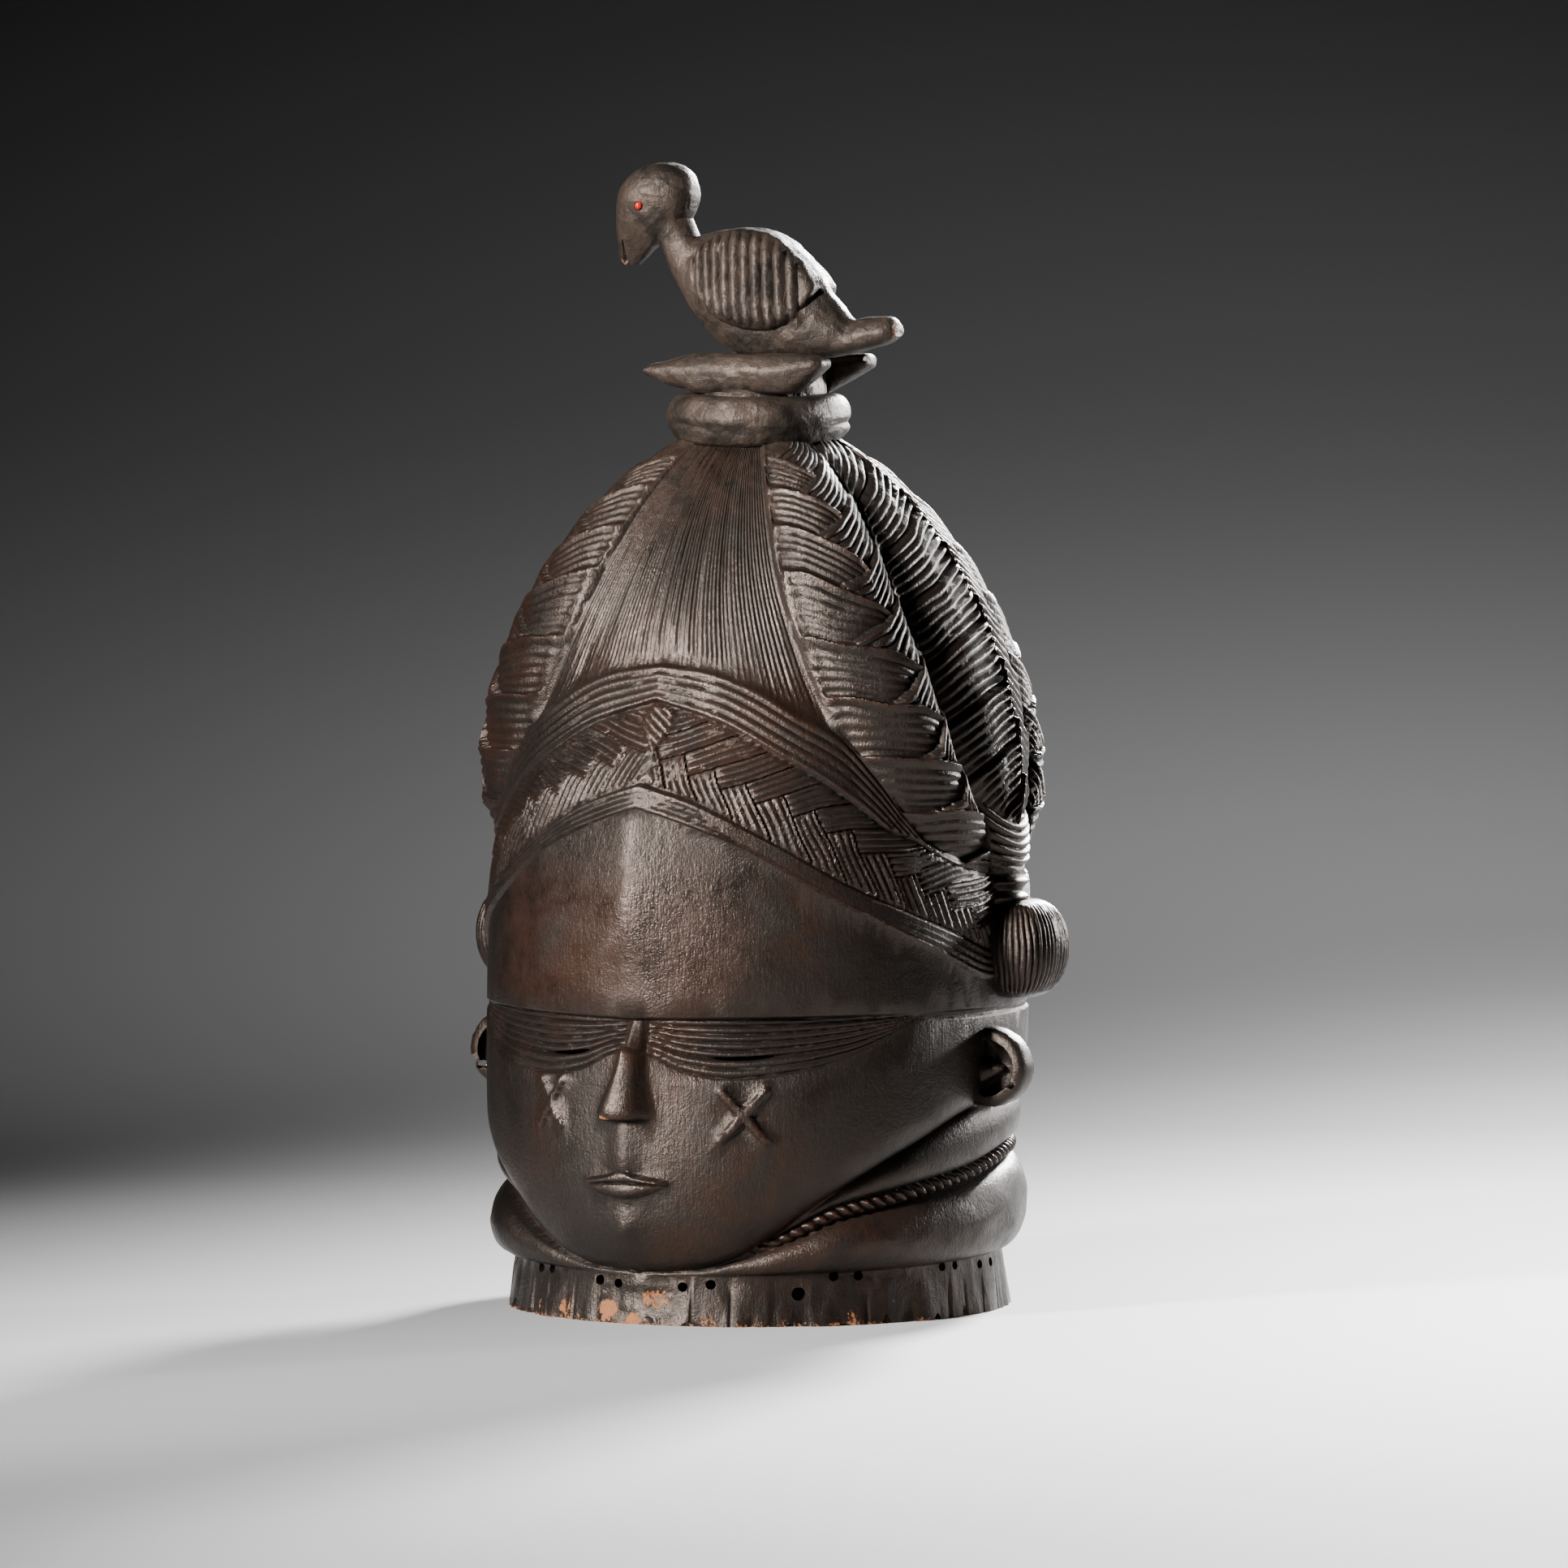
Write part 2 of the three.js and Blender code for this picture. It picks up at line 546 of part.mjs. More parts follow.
// Bird, looking along -X. Each station is x, underside, back and half width.
const BIRD = [
  [-40, 407, 416, 5], [-33, 397, 420, 8.5], [-24, 387, 421.5, 11.5], [-14, 377.5, 423.5, 13.5],
  [0, 372, 424.5, 14], [14, 371.8, 419, 13], [26, 372.6, 407, 11.5], [36, 373.6, 394.5, 9.5],
  [43, 375, 388, 8.5], [50, 376.8, 389.2, 8], [57, 378.6, 389.4, 7], [61.5, 381.5, 386.5, 4.5],
];
const BACK_TAPER = 0.4; // how much narrower the bird is along its back than at its middle
const BIRD_EYE = { x: -47.5, y: 11.1, z: 433, radius: 1.7, gap: 0.3 };
const WING = { x: 2, z: 403, halfLength: 27, halfHeight: 20, root: 4, proud: 12, flutes: 9, lean: 0.22 };

function birdBody() {
  const rings = BIRD.map(([x, foot, back, halfWidth]) => {
    const middle = new THREE.Vector3(x, 0, (foot + back) / 2);
    const tall = (back - foot) / 2;
    const ring = oval(middle, new THREE.Vector3(0, halfWidth, 0), new THREE.Vector3(0, 0, tall), 14, 2.5);
    ring.forEach((p) => p.setY(p.y * (1 - BACK_TAPER * Math.max(0, (p.z - middle.z) / tall))));
    return ring;
  });
  return solid(skin(rings));
}

// The head is lofted upwards from the beak's tip: height, front, back and half width.
const BIRD_HEAD = [
  [410.5, -60, -57, 1.4], [417, -61.5, -46, 4.5], [424, -61.5, -34, 8.5], [430.5, -61.5, -28.7, 11],
  [437.5, -61, -26.9, 12], [444, -57.5, -28.7, 10.5], [448.3, -52, -33, 7], [450, -46, -38.5, 3],
];
const BIRD_NECK = [
  [392, -26, -8, 8], [402, -33.4, -14, 8.5], [410, -38.4, -20, 8.3], [418, -43.6, -25.5, 7.6],
  [428, -48.5, -30, 7.2],
];

function birdHead() {
  const upwards = (stations, sides) => {
    const rings = stations.map(([z, front, back, halfWidth]) => {
      const middle = new THREE.Vector3((front + back) / 2, 0, z);
      const length = new THREE.Vector3((back - front) / 2, 0, 0);
      return oval(middle, length, new THREE.Vector3(0, halfWidth, 0), sides);
    });
    return solid(skin(rings));
  };
  return upwards(BIRD_HEAD, 12).add(upwards(BIRD_NECK, 10));
}

// A wing is an oval panel with upright flutes, which leans in over the back.
function wing(side) {
  const stations = WING.flutes * 2;
  const rings = Array.from({ length: stations + 1 }, (_, i) => {
    const place = (2 * i) / stations - 1;
    const tall = WING.halfHeight * dome(0.97 * place);
    const proud = WING.proud * dome(0.9 * place) - (i % 2 ? 0 : 1.4);
    const z = WING.z - 0.3 * (WING.halfHeight - tall);
    const middle = new THREE.Vector3(WING.x + place * WING.halfLength, side * WING.root, z);
    const upright = new THREE.Vector3(0, -side * WING.lean * tall, tall);
    return oval(middle, upright, new THREE.Vector3(0, proud, 0), 8, 2.7);
  });
  return solid(skin(rings));
}

function eyeSphere(side, radius) {
  const sphere = new THREE.SphereGeometry(radius, 10, 7);
  return sphere.translate(BIRD_EYE.x, side * BIRD_EYE.y, BIRD_EYE.z);
}

// The inside: one smooth oval room, open below. Each station is height, half width and half depth.
const CAVITY = [
  [-5, 84, 92], [20, 84.5, 92.5], [60, 88, 95], [110, 91, 95], [160, 90, 92], [190, 84, 85], [212, 70, 70],
  [225, 50, 50], [CAVITY_TOP_Z, 22, 22],
];
function cavity() {
  return solid(
    skin(
      CAVITY.map(([z, halfWidth, halfDepth]) => {
        const middle = new THREE.Vector3(0, 0, z);
        return oval(middle, new THREE.Vector3(halfWidth, 0, 0), new THREE.Vector3(0, halfDepth, 0), 22);
      }),
    ),
  );
}

// Holes drilled by hand along the rim: azimuth, height and radius. The back has its own, like the front's.
const RIM_HOLES = [
  [-33.5, 18.2, 1.5], [-28.8, 18.4, 1.5], [-11.7, 16.2, 1.6], [-6.4, 15.4, 1.4], [9.6, 15, 1.5],
  [16.2, 16.2, 1.5], [36.2, 12.5, 2.4], [44.4, 19, 1.5], [50.4, 19, 1.5], [75.1, 20, 1.5], [79.8, 20, 1.5],
  [91, 19, 1.5], [97.5, 19, 1.5],
  [124, 18, 1.5], [131, 17, 1.5], [158, 18, 1.6], [165, 17, 1.5], [-164, 17, 1.5], [-157, 18, 1.5],
  [-130, 18, 1.5], [-124, 18, 1.5], [-94, 19, 1.5], [-88, 18, 1.5], [-60, 19, 1.5], [-54, 18, 1.5],
];
const rimHole = ([azimuth, z, radius]) => prism(polygon(radius, 5), 40, onSkin(azimuth, 75, z));

function mask() {
  const sides = [-1, 1];
  const relief = [NOSE, PHILTRUM, UPPER_LIP, LOWER_LIP, CHIN_BUMP].map(ridge);
  const outside = joined([
    lowerBlock(),
    hairBlock(),
    ...relief,
    ...sides.flatMap((side) => [ear(side), sideRoll(side), hairTie(side), wing(side)]),
    bar(FRONT_BAR, -BAR.y),
    bar(BACK_BAR, BAR.y),
    knot(),
    collar(),
    core(),
    birdBody(),
    birdHead(),
  ]);
  const cuts = [
    cavity(),
    ...SCARS.flatMap(scarPits),
    ...EYES.map(eyeSlit),
    ...RIM_HOLES.map(rimHole),
    ...sides.map((side) => solid(eyeSphere(side, BIRD_EYE.radius + BIRD_EYE.gap))),
  ];
  return cuts.reduce((rest, cut) => rest.subtract(cut), outside);
}

function named(name, geometry, color, roughness) {
  const mesh = new THREE.Mesh(geometry, new THREE.MeshStandardMaterial({ color, roughness, metalness: 0 }));
  mesh.name = name;
  mesh.position.y = RIM_MIDDLE_Y;
  return mesh;
}

const part = new THREE.Group();
part.add(named("mask", geometryOf(mask()), SOOT, 0.5));
part.add(named("bird_eye_near", eyeSphere(-1, BIRD_EYE.radius), SEED_RED, 0.3));
part.add(named("bird_eye_far", eyeSphere(1, BIRD_EYE.radius), SEED_RED, 0.3));

export default part;
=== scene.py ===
# Sande helmet mask: the carved block in full relief, its two seed eyes, a studio floor and a camera.
# Shapes are worked out in millimetres and turned to metres when a mesh is made. An azimuth is in degrees
# from the face, positive towards +X, the wearer's left.
import math

import bpy
import numpy as np
from mathutils import Matrix, Vector


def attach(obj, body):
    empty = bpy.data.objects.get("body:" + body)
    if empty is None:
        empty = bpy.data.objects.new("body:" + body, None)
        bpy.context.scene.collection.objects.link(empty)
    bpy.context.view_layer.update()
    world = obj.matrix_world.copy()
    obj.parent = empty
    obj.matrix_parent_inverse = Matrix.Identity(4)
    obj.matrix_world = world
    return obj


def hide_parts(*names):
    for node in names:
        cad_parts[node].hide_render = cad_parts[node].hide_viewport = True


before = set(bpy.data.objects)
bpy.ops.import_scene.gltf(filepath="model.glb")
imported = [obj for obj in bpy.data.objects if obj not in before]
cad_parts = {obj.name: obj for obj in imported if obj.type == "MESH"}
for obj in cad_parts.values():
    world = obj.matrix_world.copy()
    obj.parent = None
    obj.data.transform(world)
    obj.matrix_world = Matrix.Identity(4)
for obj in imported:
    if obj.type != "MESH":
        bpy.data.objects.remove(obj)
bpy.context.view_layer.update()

bl_info = {
    "name": "Sande helmet mask",
    "version": (1, 0, 0),
    "blender": (4, 5, 0),
    "location": "3D View > Sidebar > Mask",
    "description": "Builds a carved wooden helmet mask with a plaited coiffure and a bird, and its studio",
    "category": "Object",
}

MM = 0.001

# Sizes of the block, the same as the solid's
RIM_RADIUS = 98.5
HAIR_RADIUS = 112.0
HAIR_WIDEST_Z = 207.0
HAIR_APEX_Z = 350.0
HAIR_TOP_Z = 341.0
HAIR_FOOT_Z = 161.0
COLLAR_Z = 348.5
COLLAR_RADIUS = 36.5
CORE_RADIUS = 27.0
BIRD_SEAT_Z = 373.0
SIDE_AXIS = 92.5
CAVITY_TOP_Z = 232.0
RIM_MIDDLE_Y = 4.35


# Small helpers
def eased(start, end, x):
    """An eased step from 0 at one place to 1 at another, whichever is the greater."""
    t = np.clip((x - start) / (end - start), 0.0, 1.0)
    return t * t * (3 - 2 * t)


def mix(a, b, share):
    return a + (b - a) * share


def dome(s):
    """A half round over s from -1 to 1."""
    return np.sqrt(np.clip(1 - s * s, 0.0, 1.0))


def through(*places):
    """A smooth line through a few named places, flat past its ends."""
    xs, ys = (np.array(values, float) for values in zip(*places))
    slopes = np.diff(ys) / np.diff(xs)
    before = np.concatenate([slopes[:1], slopes])
    after = np.concatenate([slopes, slopes[-1:]])
    with np.errstate(divide="ignore", invalid="ignore"):
        tangents = np.where(before * after > 0, 2 * before * after / (before + after), 0.0)

    def line(x):
        x = np.clip(x, xs[0], xs[-1])
        i = np.clip(np.searchsorted(xs, x, side="right") - 1, 0, len(xs) - 2)
        width = xs[i + 1] - xs[i]
        t = (x - xs[i]) / width
        rise = ys[i] * (1 + 2 * t) * (1 - t) ** 2 + ys[i + 1] * t * t * (3 - 2 * t)
        return rise + width * t * (1 - t) * (tangents[i] * (1 - t) - tangents[i + 1] * t)

    return line


def hand_noise(x, y, z, seed=0):
    """Smooth unevenness from -1 to 1 with bumps about one unit apart, the same in every run."""
    base = [np.floor(v).astype(np.int64) for v in np.broadcast_arrays(x, y, z)]
    part = [v - b for v, b in zip(np.broadcast_arrays(x, y, z), base)]
    part = [t * t * (3 - 2 * t) for t in part]
    total = 0.0
    for corner in range(8):
        step = [(corner >> k) & 1 for k in range(3)]
        ix, iy, iz = (b + s for b, s in zip(base, step))
        h = (ix * 73856093) ^ (iy * 19349663) ^ (iz * 83492791) ^ (seed * 6542989 + 12345)
        h = ((h ^ (h >> 13)) * 1274126177) & 0x7FFFFFFF
        h = ((h ^ (h >> 15)) * 668265263) & 0x7FFFFFFF
        weight = 1.0
        for t, s in zip(part, step):
            weight = weight * (t if s else 1 - t)
        total = total + weight * ((h & 0xFFFF) / 32767.5 - 1.0)
    return total


def around(azimuth, radius, z):
    """Points at an azimuth, a radius and a height."""
    turn = np.radians(azimuth)
    return np.stack(np.broadcast_arrays(radius * np.sin(turn), -radius * np.cos(turn), z), axis=-1)


def arc(degrees, radius):
    """The length in millimetres of an arc round the head."""
    return degrees * math.radians(1) * radius


def between(low, high, size, z):
    """The share of the way up from one line on the block to another, from 0 to 1."""
    return np.clip((z - low(size)) / (high(size) - low(size)), 0, 1)


# Lines that the carver laid out on the block: height against the azimuth's size
rim_top = through((0, 19), (60, 21), (120, 23), (180, 23))
ring_top = through((0, 20), (12, 21), (33, 32), (45, 40.5), (60, 46), (80, 52), (104, 59), (180, 66))
rope_top = through(
    (0, 20.6), (12, 22), (33, 37), (45, 46.5), (60, 52.5), (80, 58.5), (104, 66), (180, 73),
)
jaw = through(
    (0, 21.4), (12, 23.5), (20, 26), (30, 35), (37, 43.5), (47, 55), (60, 66.5), (87, 82), (180, 88),
)
lid_line = through(
    (0, 108), (5, 105), (12, 99), (21, 96.5), (37, 100), (46, 104), (55, 111), (64, 118), (180, 118),
)
brow_line = through((0, 119), (64, 120.5), (180, 120.5))
hairline = through(
    (0, 200.5), (23, 186), (40, 168), (51, 157.5), (65, 145), (86, 132), (110, 137), (180, 138),
)
low_band_top = through(
    (0, 209.5), (12, 203), (28, 189), (48, 169), (58, 161), (74, 150), (86, 143), (110, 147), (180, 148),
)
high_band_foot = through(
    (0, 241), (18, 232.5), (30, 222), (42, 210), (53, 196), (61, 183), (69, 173), (80, 166), (110, 159),
    (180, 158),
)
high_band_top = through(
    (0, 255), (13, 253), (25, 247), (36, 237), (46, 228), (54, 212), (61, 195), (67, 184), (76, 177),
    (84, 174), (110, 171), (180, 170),
)

# The block's outside before the relief is cut: radius against height
front_radius = through(
    (19, 99), (30, 108), (45, 111.5), (60, 112), (95, 109.5), (140, 109), (168, 107), (200, 101),
    (225, 91), (241, 84), (255, 78.5), (275, 60),
)
cheek_radius = through(
    (19, 98), (40, 104), (60, 107.5), (80, 108.5), (118, 108), (140, 107.5), (168, 105), (200, 99.5),
    (225, 93.5), (255, 82), (275, 64),
)
side_radius = through(
    (19, 97), (60, 100), (80, 104), (100, 105.5), (130, 106), (160, 105), (190, 103), (215, 98),
    (255, 84), (275, 66),
)
back_radius = through(
    (19, 100), (60, 102), (88, 105), (110, 108.5), (140, 109), (170, 107), (200, 102), (255, 84),
    (275, 66),
)
CHEEK_AZIMUTH = 45.0


def block_radius(size, z):
    """The block before its relief."""
    front = mix(front_radius(z), cheek_radius(z), eased(0, CHEEK_AZIMUTH, size))
    side = mix(cheek_radius(z), side_radius(z), eased(CHEEK_AZIMUTH, 90, size))
    back = mix(side_radius(z), back_radius(z), eased(90, 180, size))
    return np.where(size < CHEEK_AZIMUTH, front, np.where(size < 90, side, back))


MEAN_RADIUS = 104.0  # turns degrees round the head into millimetres along it
ARC = arc(1, MEAN_RADIUS)


def past(line, size, z):
    """How far a point lies above a line, in millimetres square to it."""
    slope = (line(size + 0.5) - line(size - 0.5)) / ARC
    return (z - line(size)) / np.sqrt(1 + slope * slope)


KEEL_REACH = 13.0  # degrees to each side of the face's middle


def keel(azimuth, height):
    """The soft ridge down the middle of the front."""
    return height * np.clip(1 - np.abs(azimuth) / KEEL_REACH, 0, 1) ** 1.4


def ridges(phase, sharpness=0.75):
    """Rounded ridges between narrow grooves, one for each unit of the phase, from 0 to 1."""
    return np.abs(np.sin(np.pi * phase)) ** sharpness


# Neck and rim
def rim_oval(azimuth):
    return 1 + 0.025 * np.cos(np.radians(azimuth)) ** 2


def rim_surface(azimuth, size, z):
    """The drilled rim: split and chopped upright, and scraped bare under the chin."""
    share = np.clip(z / rim_top(size), 0, 1)
    chops = 0.4 * hand_noise(azimuth / 1.7, z / 13, 0, 1) + 0.8 * hand_noise(azimuth / 7, z / 25, 0, 2)
    splits = 1.0 * eased(0.12, 0.0, np.abs(hand_noise(azimuth / 8, z / 60, 5, 33))) * eased(20, 6, z)
    scraped = eased(13, 7, np.abs(azimuth + 1.5)) * eased(16, 11, z)
    scrapes = splits + scraped * (1.2 + 0.9 * hand_noise(azimuth / 1.6, z / 2.2, 3.3, 3))
    return (RIM_RADIUS - 3 * share) * rim_oval(azimuth) + chops - scrapes


NECK_RADIUS, RING_SWELL = 96.0, 9.5
ROPE_RADIUS, ROPE_SWELL = 97.0, 5.2
FOLD_RADIUS, FOLD_SWELL = 98.5, 5.0


def neck_ring(azimuth, size, z):
    """The fat ring over the rim, which fades out under the chin."""
    share = between(rim_top, ring_top, size, z)
    fullness = eased(0, 24, ring_top(size) - rim_top(size))
    facets = 0.4 * hand_noise(azimuth / 7, (z - ring_top(size)) / 5, 0, 4)
    return (NECK_RADIUS + RING_SWELL * fullness * dome(2 * share - 1)) * rim_oval(azimuth) + facets


ROPE_TWIST = 5.0  # millimetres from strand to strand


def rope(azimuth, size, z):
    """A twisted cord carved between the neck ring and the jaw. It fades towards the chin, and sooner on the
    wearer's right."""
    share = between(ring_top, rope_top, size, z)
    strand = size * ARC / ROPE_TWIST + 1.1 * share + 0.1 * hand_noise(azimuth / 5, 0, 0, 5)
    full = np.where(azimuth > 0, eased(18, 40, size), eased(58, 76, size))
    twisted = ROPE_SWELL * dome(2 * share - 1) * (0.35 + 0.65 * ridges(strand, 0.9))
    return ROPE_RADIUS + full * (twisted - 0.4)


def jaw_fold(azimuth, size, z):
    """The smooth fold between the rope and the jaw."""
    share = between(rope_top, jaw, size, z)
    fullness = eased(0, 14, jaw(size) - rope_top(size))
    return FOLD_RADIUS + FOLD_SWELL * fullness * dome(2 * share - 1)


# Face
FACE_RADIUS, SCAR_RADIUS, TEMPLE_RADIUS = 111.0, 109.0, 108.0  # turn degrees there into millimetres
NOSE_TOP, NOSE_FOOT = 119.0, 80.6
MOUTH_Z, CHIN_Z = 55.6, 37.5
nose_middle = through((80, -0.8), (88, -0.2), (96, 0.8), (107, 2.2), (119, 3.4))
nose_half = through((80, 8.6), (83, 9.2), (88, 8.0), (96, 5.9), (107, 4.4), (119, 3.6))
nose_proud = through((80, 9.8), (84, 10.4), (90, 9.4), (98, 7.8), (108, 6.2), (116, 4.9), (121, 4.2))


def beside_nose(azimuth, z):
    """0 on the nose and 1 clear of it."""
    return eased(0.95, 1.4, np.abs((arc(azimuth, FACE_RADIUS) - nose_middle(z)) / nose_half(z)))


def face_features(azimuth, z):
    """How far the nose, the lips and the chin stand out of the face."""
    x = arc(azimuth, FACE_RADIUS)
    across = np.clip((x - nose_middle(z)) / nose_half(z), -1.5, 1.5)
    section = np.clip(1.09 / (1 + np.abs(across) ** 6) - 0.09, 0, 1)
    section = section * (1 - 0.17 * (across + 0.75) - 0.1 * across**2)
    nose = nose_proud(z) * section * eased(NOSE_FOOT - 0.9, NOSE_FOOT + 0.3, z)
    nose = nose * eased(NOSE_TOP + 2, NOSE_TOP - 0.5, z)
    across = (x + 1.0) / 5.2
    philtrum = 1.7 * eased(1.7, 0.1, np.abs(across)) * eased(59, 62, z) * eased(81, 79, z)
    cupid = 2.2 * np.exp(-(((x + 1) / 4.5) ** 2)) - 0.6 * np.exp(-(((x + 1) / 1.7) ** 2))
    upper_edge = 58.6 + cupid - 2.2 * (np.abs(x + 0.3) / 17.5) ** 2.0
    mouth_line = MOUTH_Z + 0.5 * np.cos(x / 6)
    lower_edge = 50.4 + 4.4 * np.clip(np.abs(x + 1.2) / 15.5, 0, 1) ** 2.2
    inside = eased(18.4, 16.2, np.abs(x + 0.3))
    upper = eased(upper_edge + 0.8, upper_edge - 0.9, z) * eased(mouth_line - 0.1, mouth_line + 0.7, z)
    lower = eased(lower_edge - 1.1, lower_edge + 1.3, z) * eased(mouth_line + 0.1, mouth_line - 0.7, z)
    lips = inside * (2.7 * upper + 2.3 * lower)
    chin = 1.9 * np.exp(-(((x + 1) / 5.5) ** 2) - ((z - CHIN_Z) / 6.0) ** 2)
    return nose + philtrum * (1 - 0.4 * upper) + lips + chin


SCARS = ((-20.0, 85.5, 9.3, 6.3), (24.0, 82.5, 10.2, 9.4))  # azimuth, height, reach up, reach across
SCAR_PROUD, SCAR_FIELD_DEPTH = 1.5, 0.8


def scars(azimuth, z):
    """Two crossed flat bars on each cheek, in a field that is hollowed a little between them."""
    total = 0.0
    for middle, height, up, across in SCARS:
        u = arc(azimuth - middle, SCAR_RADIUS) / across
        v = (z - height) / up
        u = u + 0.06 * hand_noise(u * 2, v * 2, middle, 6)
        scale = 0.5 * (up + across)
        for sign in (-1, 1):
            off = np.abs(u - sign * v) * scale / math.sqrt(2)
            along = np.abs(u + sign * v) / 2
            half = 1.9 - 0.5 * along
            total = np.maximum(total, 2.4 * eased(half + 0.5, half - 0.4, off) * eased(1.12, 0.9, along))
        total = total - SCAR_FIELD_DEPTH * eased(1.5, 0.4, np.hypot(u, v))
    return np.clip(total, -SCAR_FIELD_DEPTH, SCAR_PROUD)


def face(azimuth, size, z):
    rise = np.clip((z - jaw(size)) / 13, 0, 1)
    rounding = 6.5 * (1 - dome(1 - rise)) * eased(8, 32, size)
    skin = block_radius(size, z) + keel(azimuth, 2.5) * 0.6 - rounding
    return skin + face_features(azimuth, z) + scars(azimuth, z)


SLIT_SHARE = 0.33  # where the eye slits lie in the band across the eyes
BROW_RIDGES = 5
EYES = ((-16.5, 10.5), (24.0, 12.5))  # azimuth and half length


def eye_band(azimuth, size, z):
    """A heavy lid under the slits and narrower ridges over them, which draw together at the temples."""
    share = between(lid_line, brow_line, size, z)
    depth = (2.0 + 2.9 * share) * eased(66, 40, size)
    over = 2 + BROW_RIDGES * (share - SLIT_SHARE) / (1 - SLIT_SHARE)
    phase = np.where(share < SLIT_SHARE, 2 * share / SLIT_SHARE, over)
    wander = 0.05 * hand_noise(azimuth / 9, z / 12, 0, 7)
    relief = np.where(share < SLIT_SHARE, 1.9, 2.1) * ridges(phase + wander, 0.6)
    lid = 1.5 * dome(np.clip(2 * share / SLIT_SHARE - 1, -1, 1)) * eased(46, 30, size)
    shown = eased(72, 44, size) * beside_nose(azimuth, z)
    band = block_radius(size, z) + keel(azimuth, 1) - depth - 1.2 + (relief + lid) * shown
    return band + face_features(azimuth, z)


def forehead(azimuth, size, z):
    """Two smooth planes that meet in a ridge, flatter towards the brow."""
    ridge = 4.6 * np.clip(1 - np.abs(azimuth + 0.3) / 19, 0, 1) ** 1.9 * mix(0.3, 1.0, eased(126, 165, z))
    dents = 0.12 * hand_noise(azimuth / 7, z / 16, 0, 8)
    return block_radius(size, z) + ridge + dents


# Diadem
def grooved_band(low, high, count, depth, seed):
    """A raised band with a few long grooves, more worn at the left."""

    def band(azimuth, size, z):
        share = between(low, high, size, z)
        wobble = 0.05 * hand_noise(azimuth / 10, share * 2, 0, seed)
        worn = (0.8 + 0.2 * hand_noise(azimuth / 12, share, 1, seed)) * mix(1.0, 0.8, eased(0, 25, azimuth))
        relief = depth * worn * (ridges(share * count + wobble, 0.8) - 1)
        edges = -0.6 * eased(0.08, 0.0, share) - 0.3 * eased(0.06, 0.0, 1 - share)
        return block_radius(size, z) + 2.2 + relief + edges + keel(azimuth, 2)

    return band


low_band = grooved_band(hairline, low_band_top, 4, 1.25, 9)
high_band = grooved_band(high_band_foot, high_band_top, 5, 1.5, 10)


def plait_top(size):
    """The upper band runs out under the hair towards the ears."""
    return mix(high_band_foot(size), high_band_top(size) - 0.6, eased(54, 68, size))


def weave(p, q, soft):
    """Two families of strokes that meet in steps, as in a herringbone plait. Each phase rises by one from
    block to block. Gives where the first family shows, how far each phase is through its block, and how
    clear a point is of the other family's edge, from 0 to 1."""
    i, j = np.floor(p), np.floor(q)
    first = i > j
    clear = np.where(first, np.where(j == i - 1, 1 - (q - j), 1.0), np.where(i == j, 1 - (p - i), 1.0))
    return first, p - i, q - j, eased(0, soft, clear)


PLAIT_MIDDLE = 1.5  # azimuth of the knot over the forehead
KNOT_Z, KNOT_RADIUS = 233.0, 90.0
PLAIT_PERIOD = 13.0  # millimetres along the diadem from block to block
PLAIT_STROKES = 3.5  # in one block
FLAT_RISE, STEEP_RISE = 0.108, 0.0385  # blocks for each millimetre up the field, by family
plait_middle = through(
    (0, 229), (7, 223), (17, 216), (26, 209), (36, 203), (43, 197), (49, 190.5), (57, 180.5), (63, 174),
    (72, 167), (88, 154), (180, 153),
)


def plait(azimuth, size, z):
    """The diadem's basket work: nearly level strokes above, steep ones below, and a knot in the middle."""
    share = between(low_band_top, plait_top, size, z)
    along = np.abs(azimuth - PLAIT_MIDDLE) * ARC * 0.94
    away = z - plait_middle(size)
    drift = 0.07 * hand_noise(azimuth / 7, z / 12, 0, 11)
    flat = along / PLAIT_PERIOD - FLAT_RISE * away + drift
    steep = along / PLAIT_PERIOD + STEEP_RISE * away + 0.1 * hand_noise(azimuth / 8, z / 14, 3, 12)
    is_steep, through_steep, through_flat, clear = weave(-steep, -flat, 0.14)
    share_flat, share_steep = 1 - through_flat, 1 - through_steep
    flats, steeps = (
        1.25 * ridges(through_block * PLAIT_STROKES + shift, 0.9) + 0.7 * through_block
        for through_block, shift in ((share_flat, 0.1), (share_steep, 0.0))
    )
    height = np.where(is_steep, steeps, flats) * (0.25 + 0.75 * clear)
    height = height - 0.5 * eased(0.12, 0.0, np.where(is_steep, share_steep, share_flat))
    u, v = arc(azimuth - PLAIT_MIDDLE, KNOT_RADIUS), z - KNOT_Z
    knot = eased(7.6, 6.2, np.abs(u) * 0.95 + np.abs(v) * 0.55 + 0.5 * hand_noise(u / 4, v / 4, 0, 13))
    knot_relief = 1.7 + 1.1 * ridges((u * 0.8 + v) / 3.4 + 0.3, 0.8)
    height = mix(height, knot_relief, knot)
    edge = eased(0.0, 0.05, np.minimum(share, 1 - share))
    return block_radius(size, z) - 0.2 + height * edge + keel(azimuth, 1.5)


# Hair
panel_edge = through((200, 50), (234, 45.5), (256, 40.5), (293, 33.5), (333, 30))
parting = through((178, 84), (190, 81), (203, 73), (228, 66), (250, 61), (276, 58), (292, 56), (330, 48.5))
valley = through((178, 87), (190, 83.5), (221, 74), (237, 72), (256, 69.5), (284, 66.5), (321, 66.5))
crest_share = through(
    (0, 0.787), (0.5, 0.792), (0.94, 0.812), (1.0, 0.842), (1.06, 0.868), (1.5, 0.95), (1.95, 0.997),
    (2.5, 0.99), (2.85, 0.955), (2.97, 0.918), (3.02, 0.922), (3.3, 0.965), (3.6, 1.0), (4, 1.012),
)
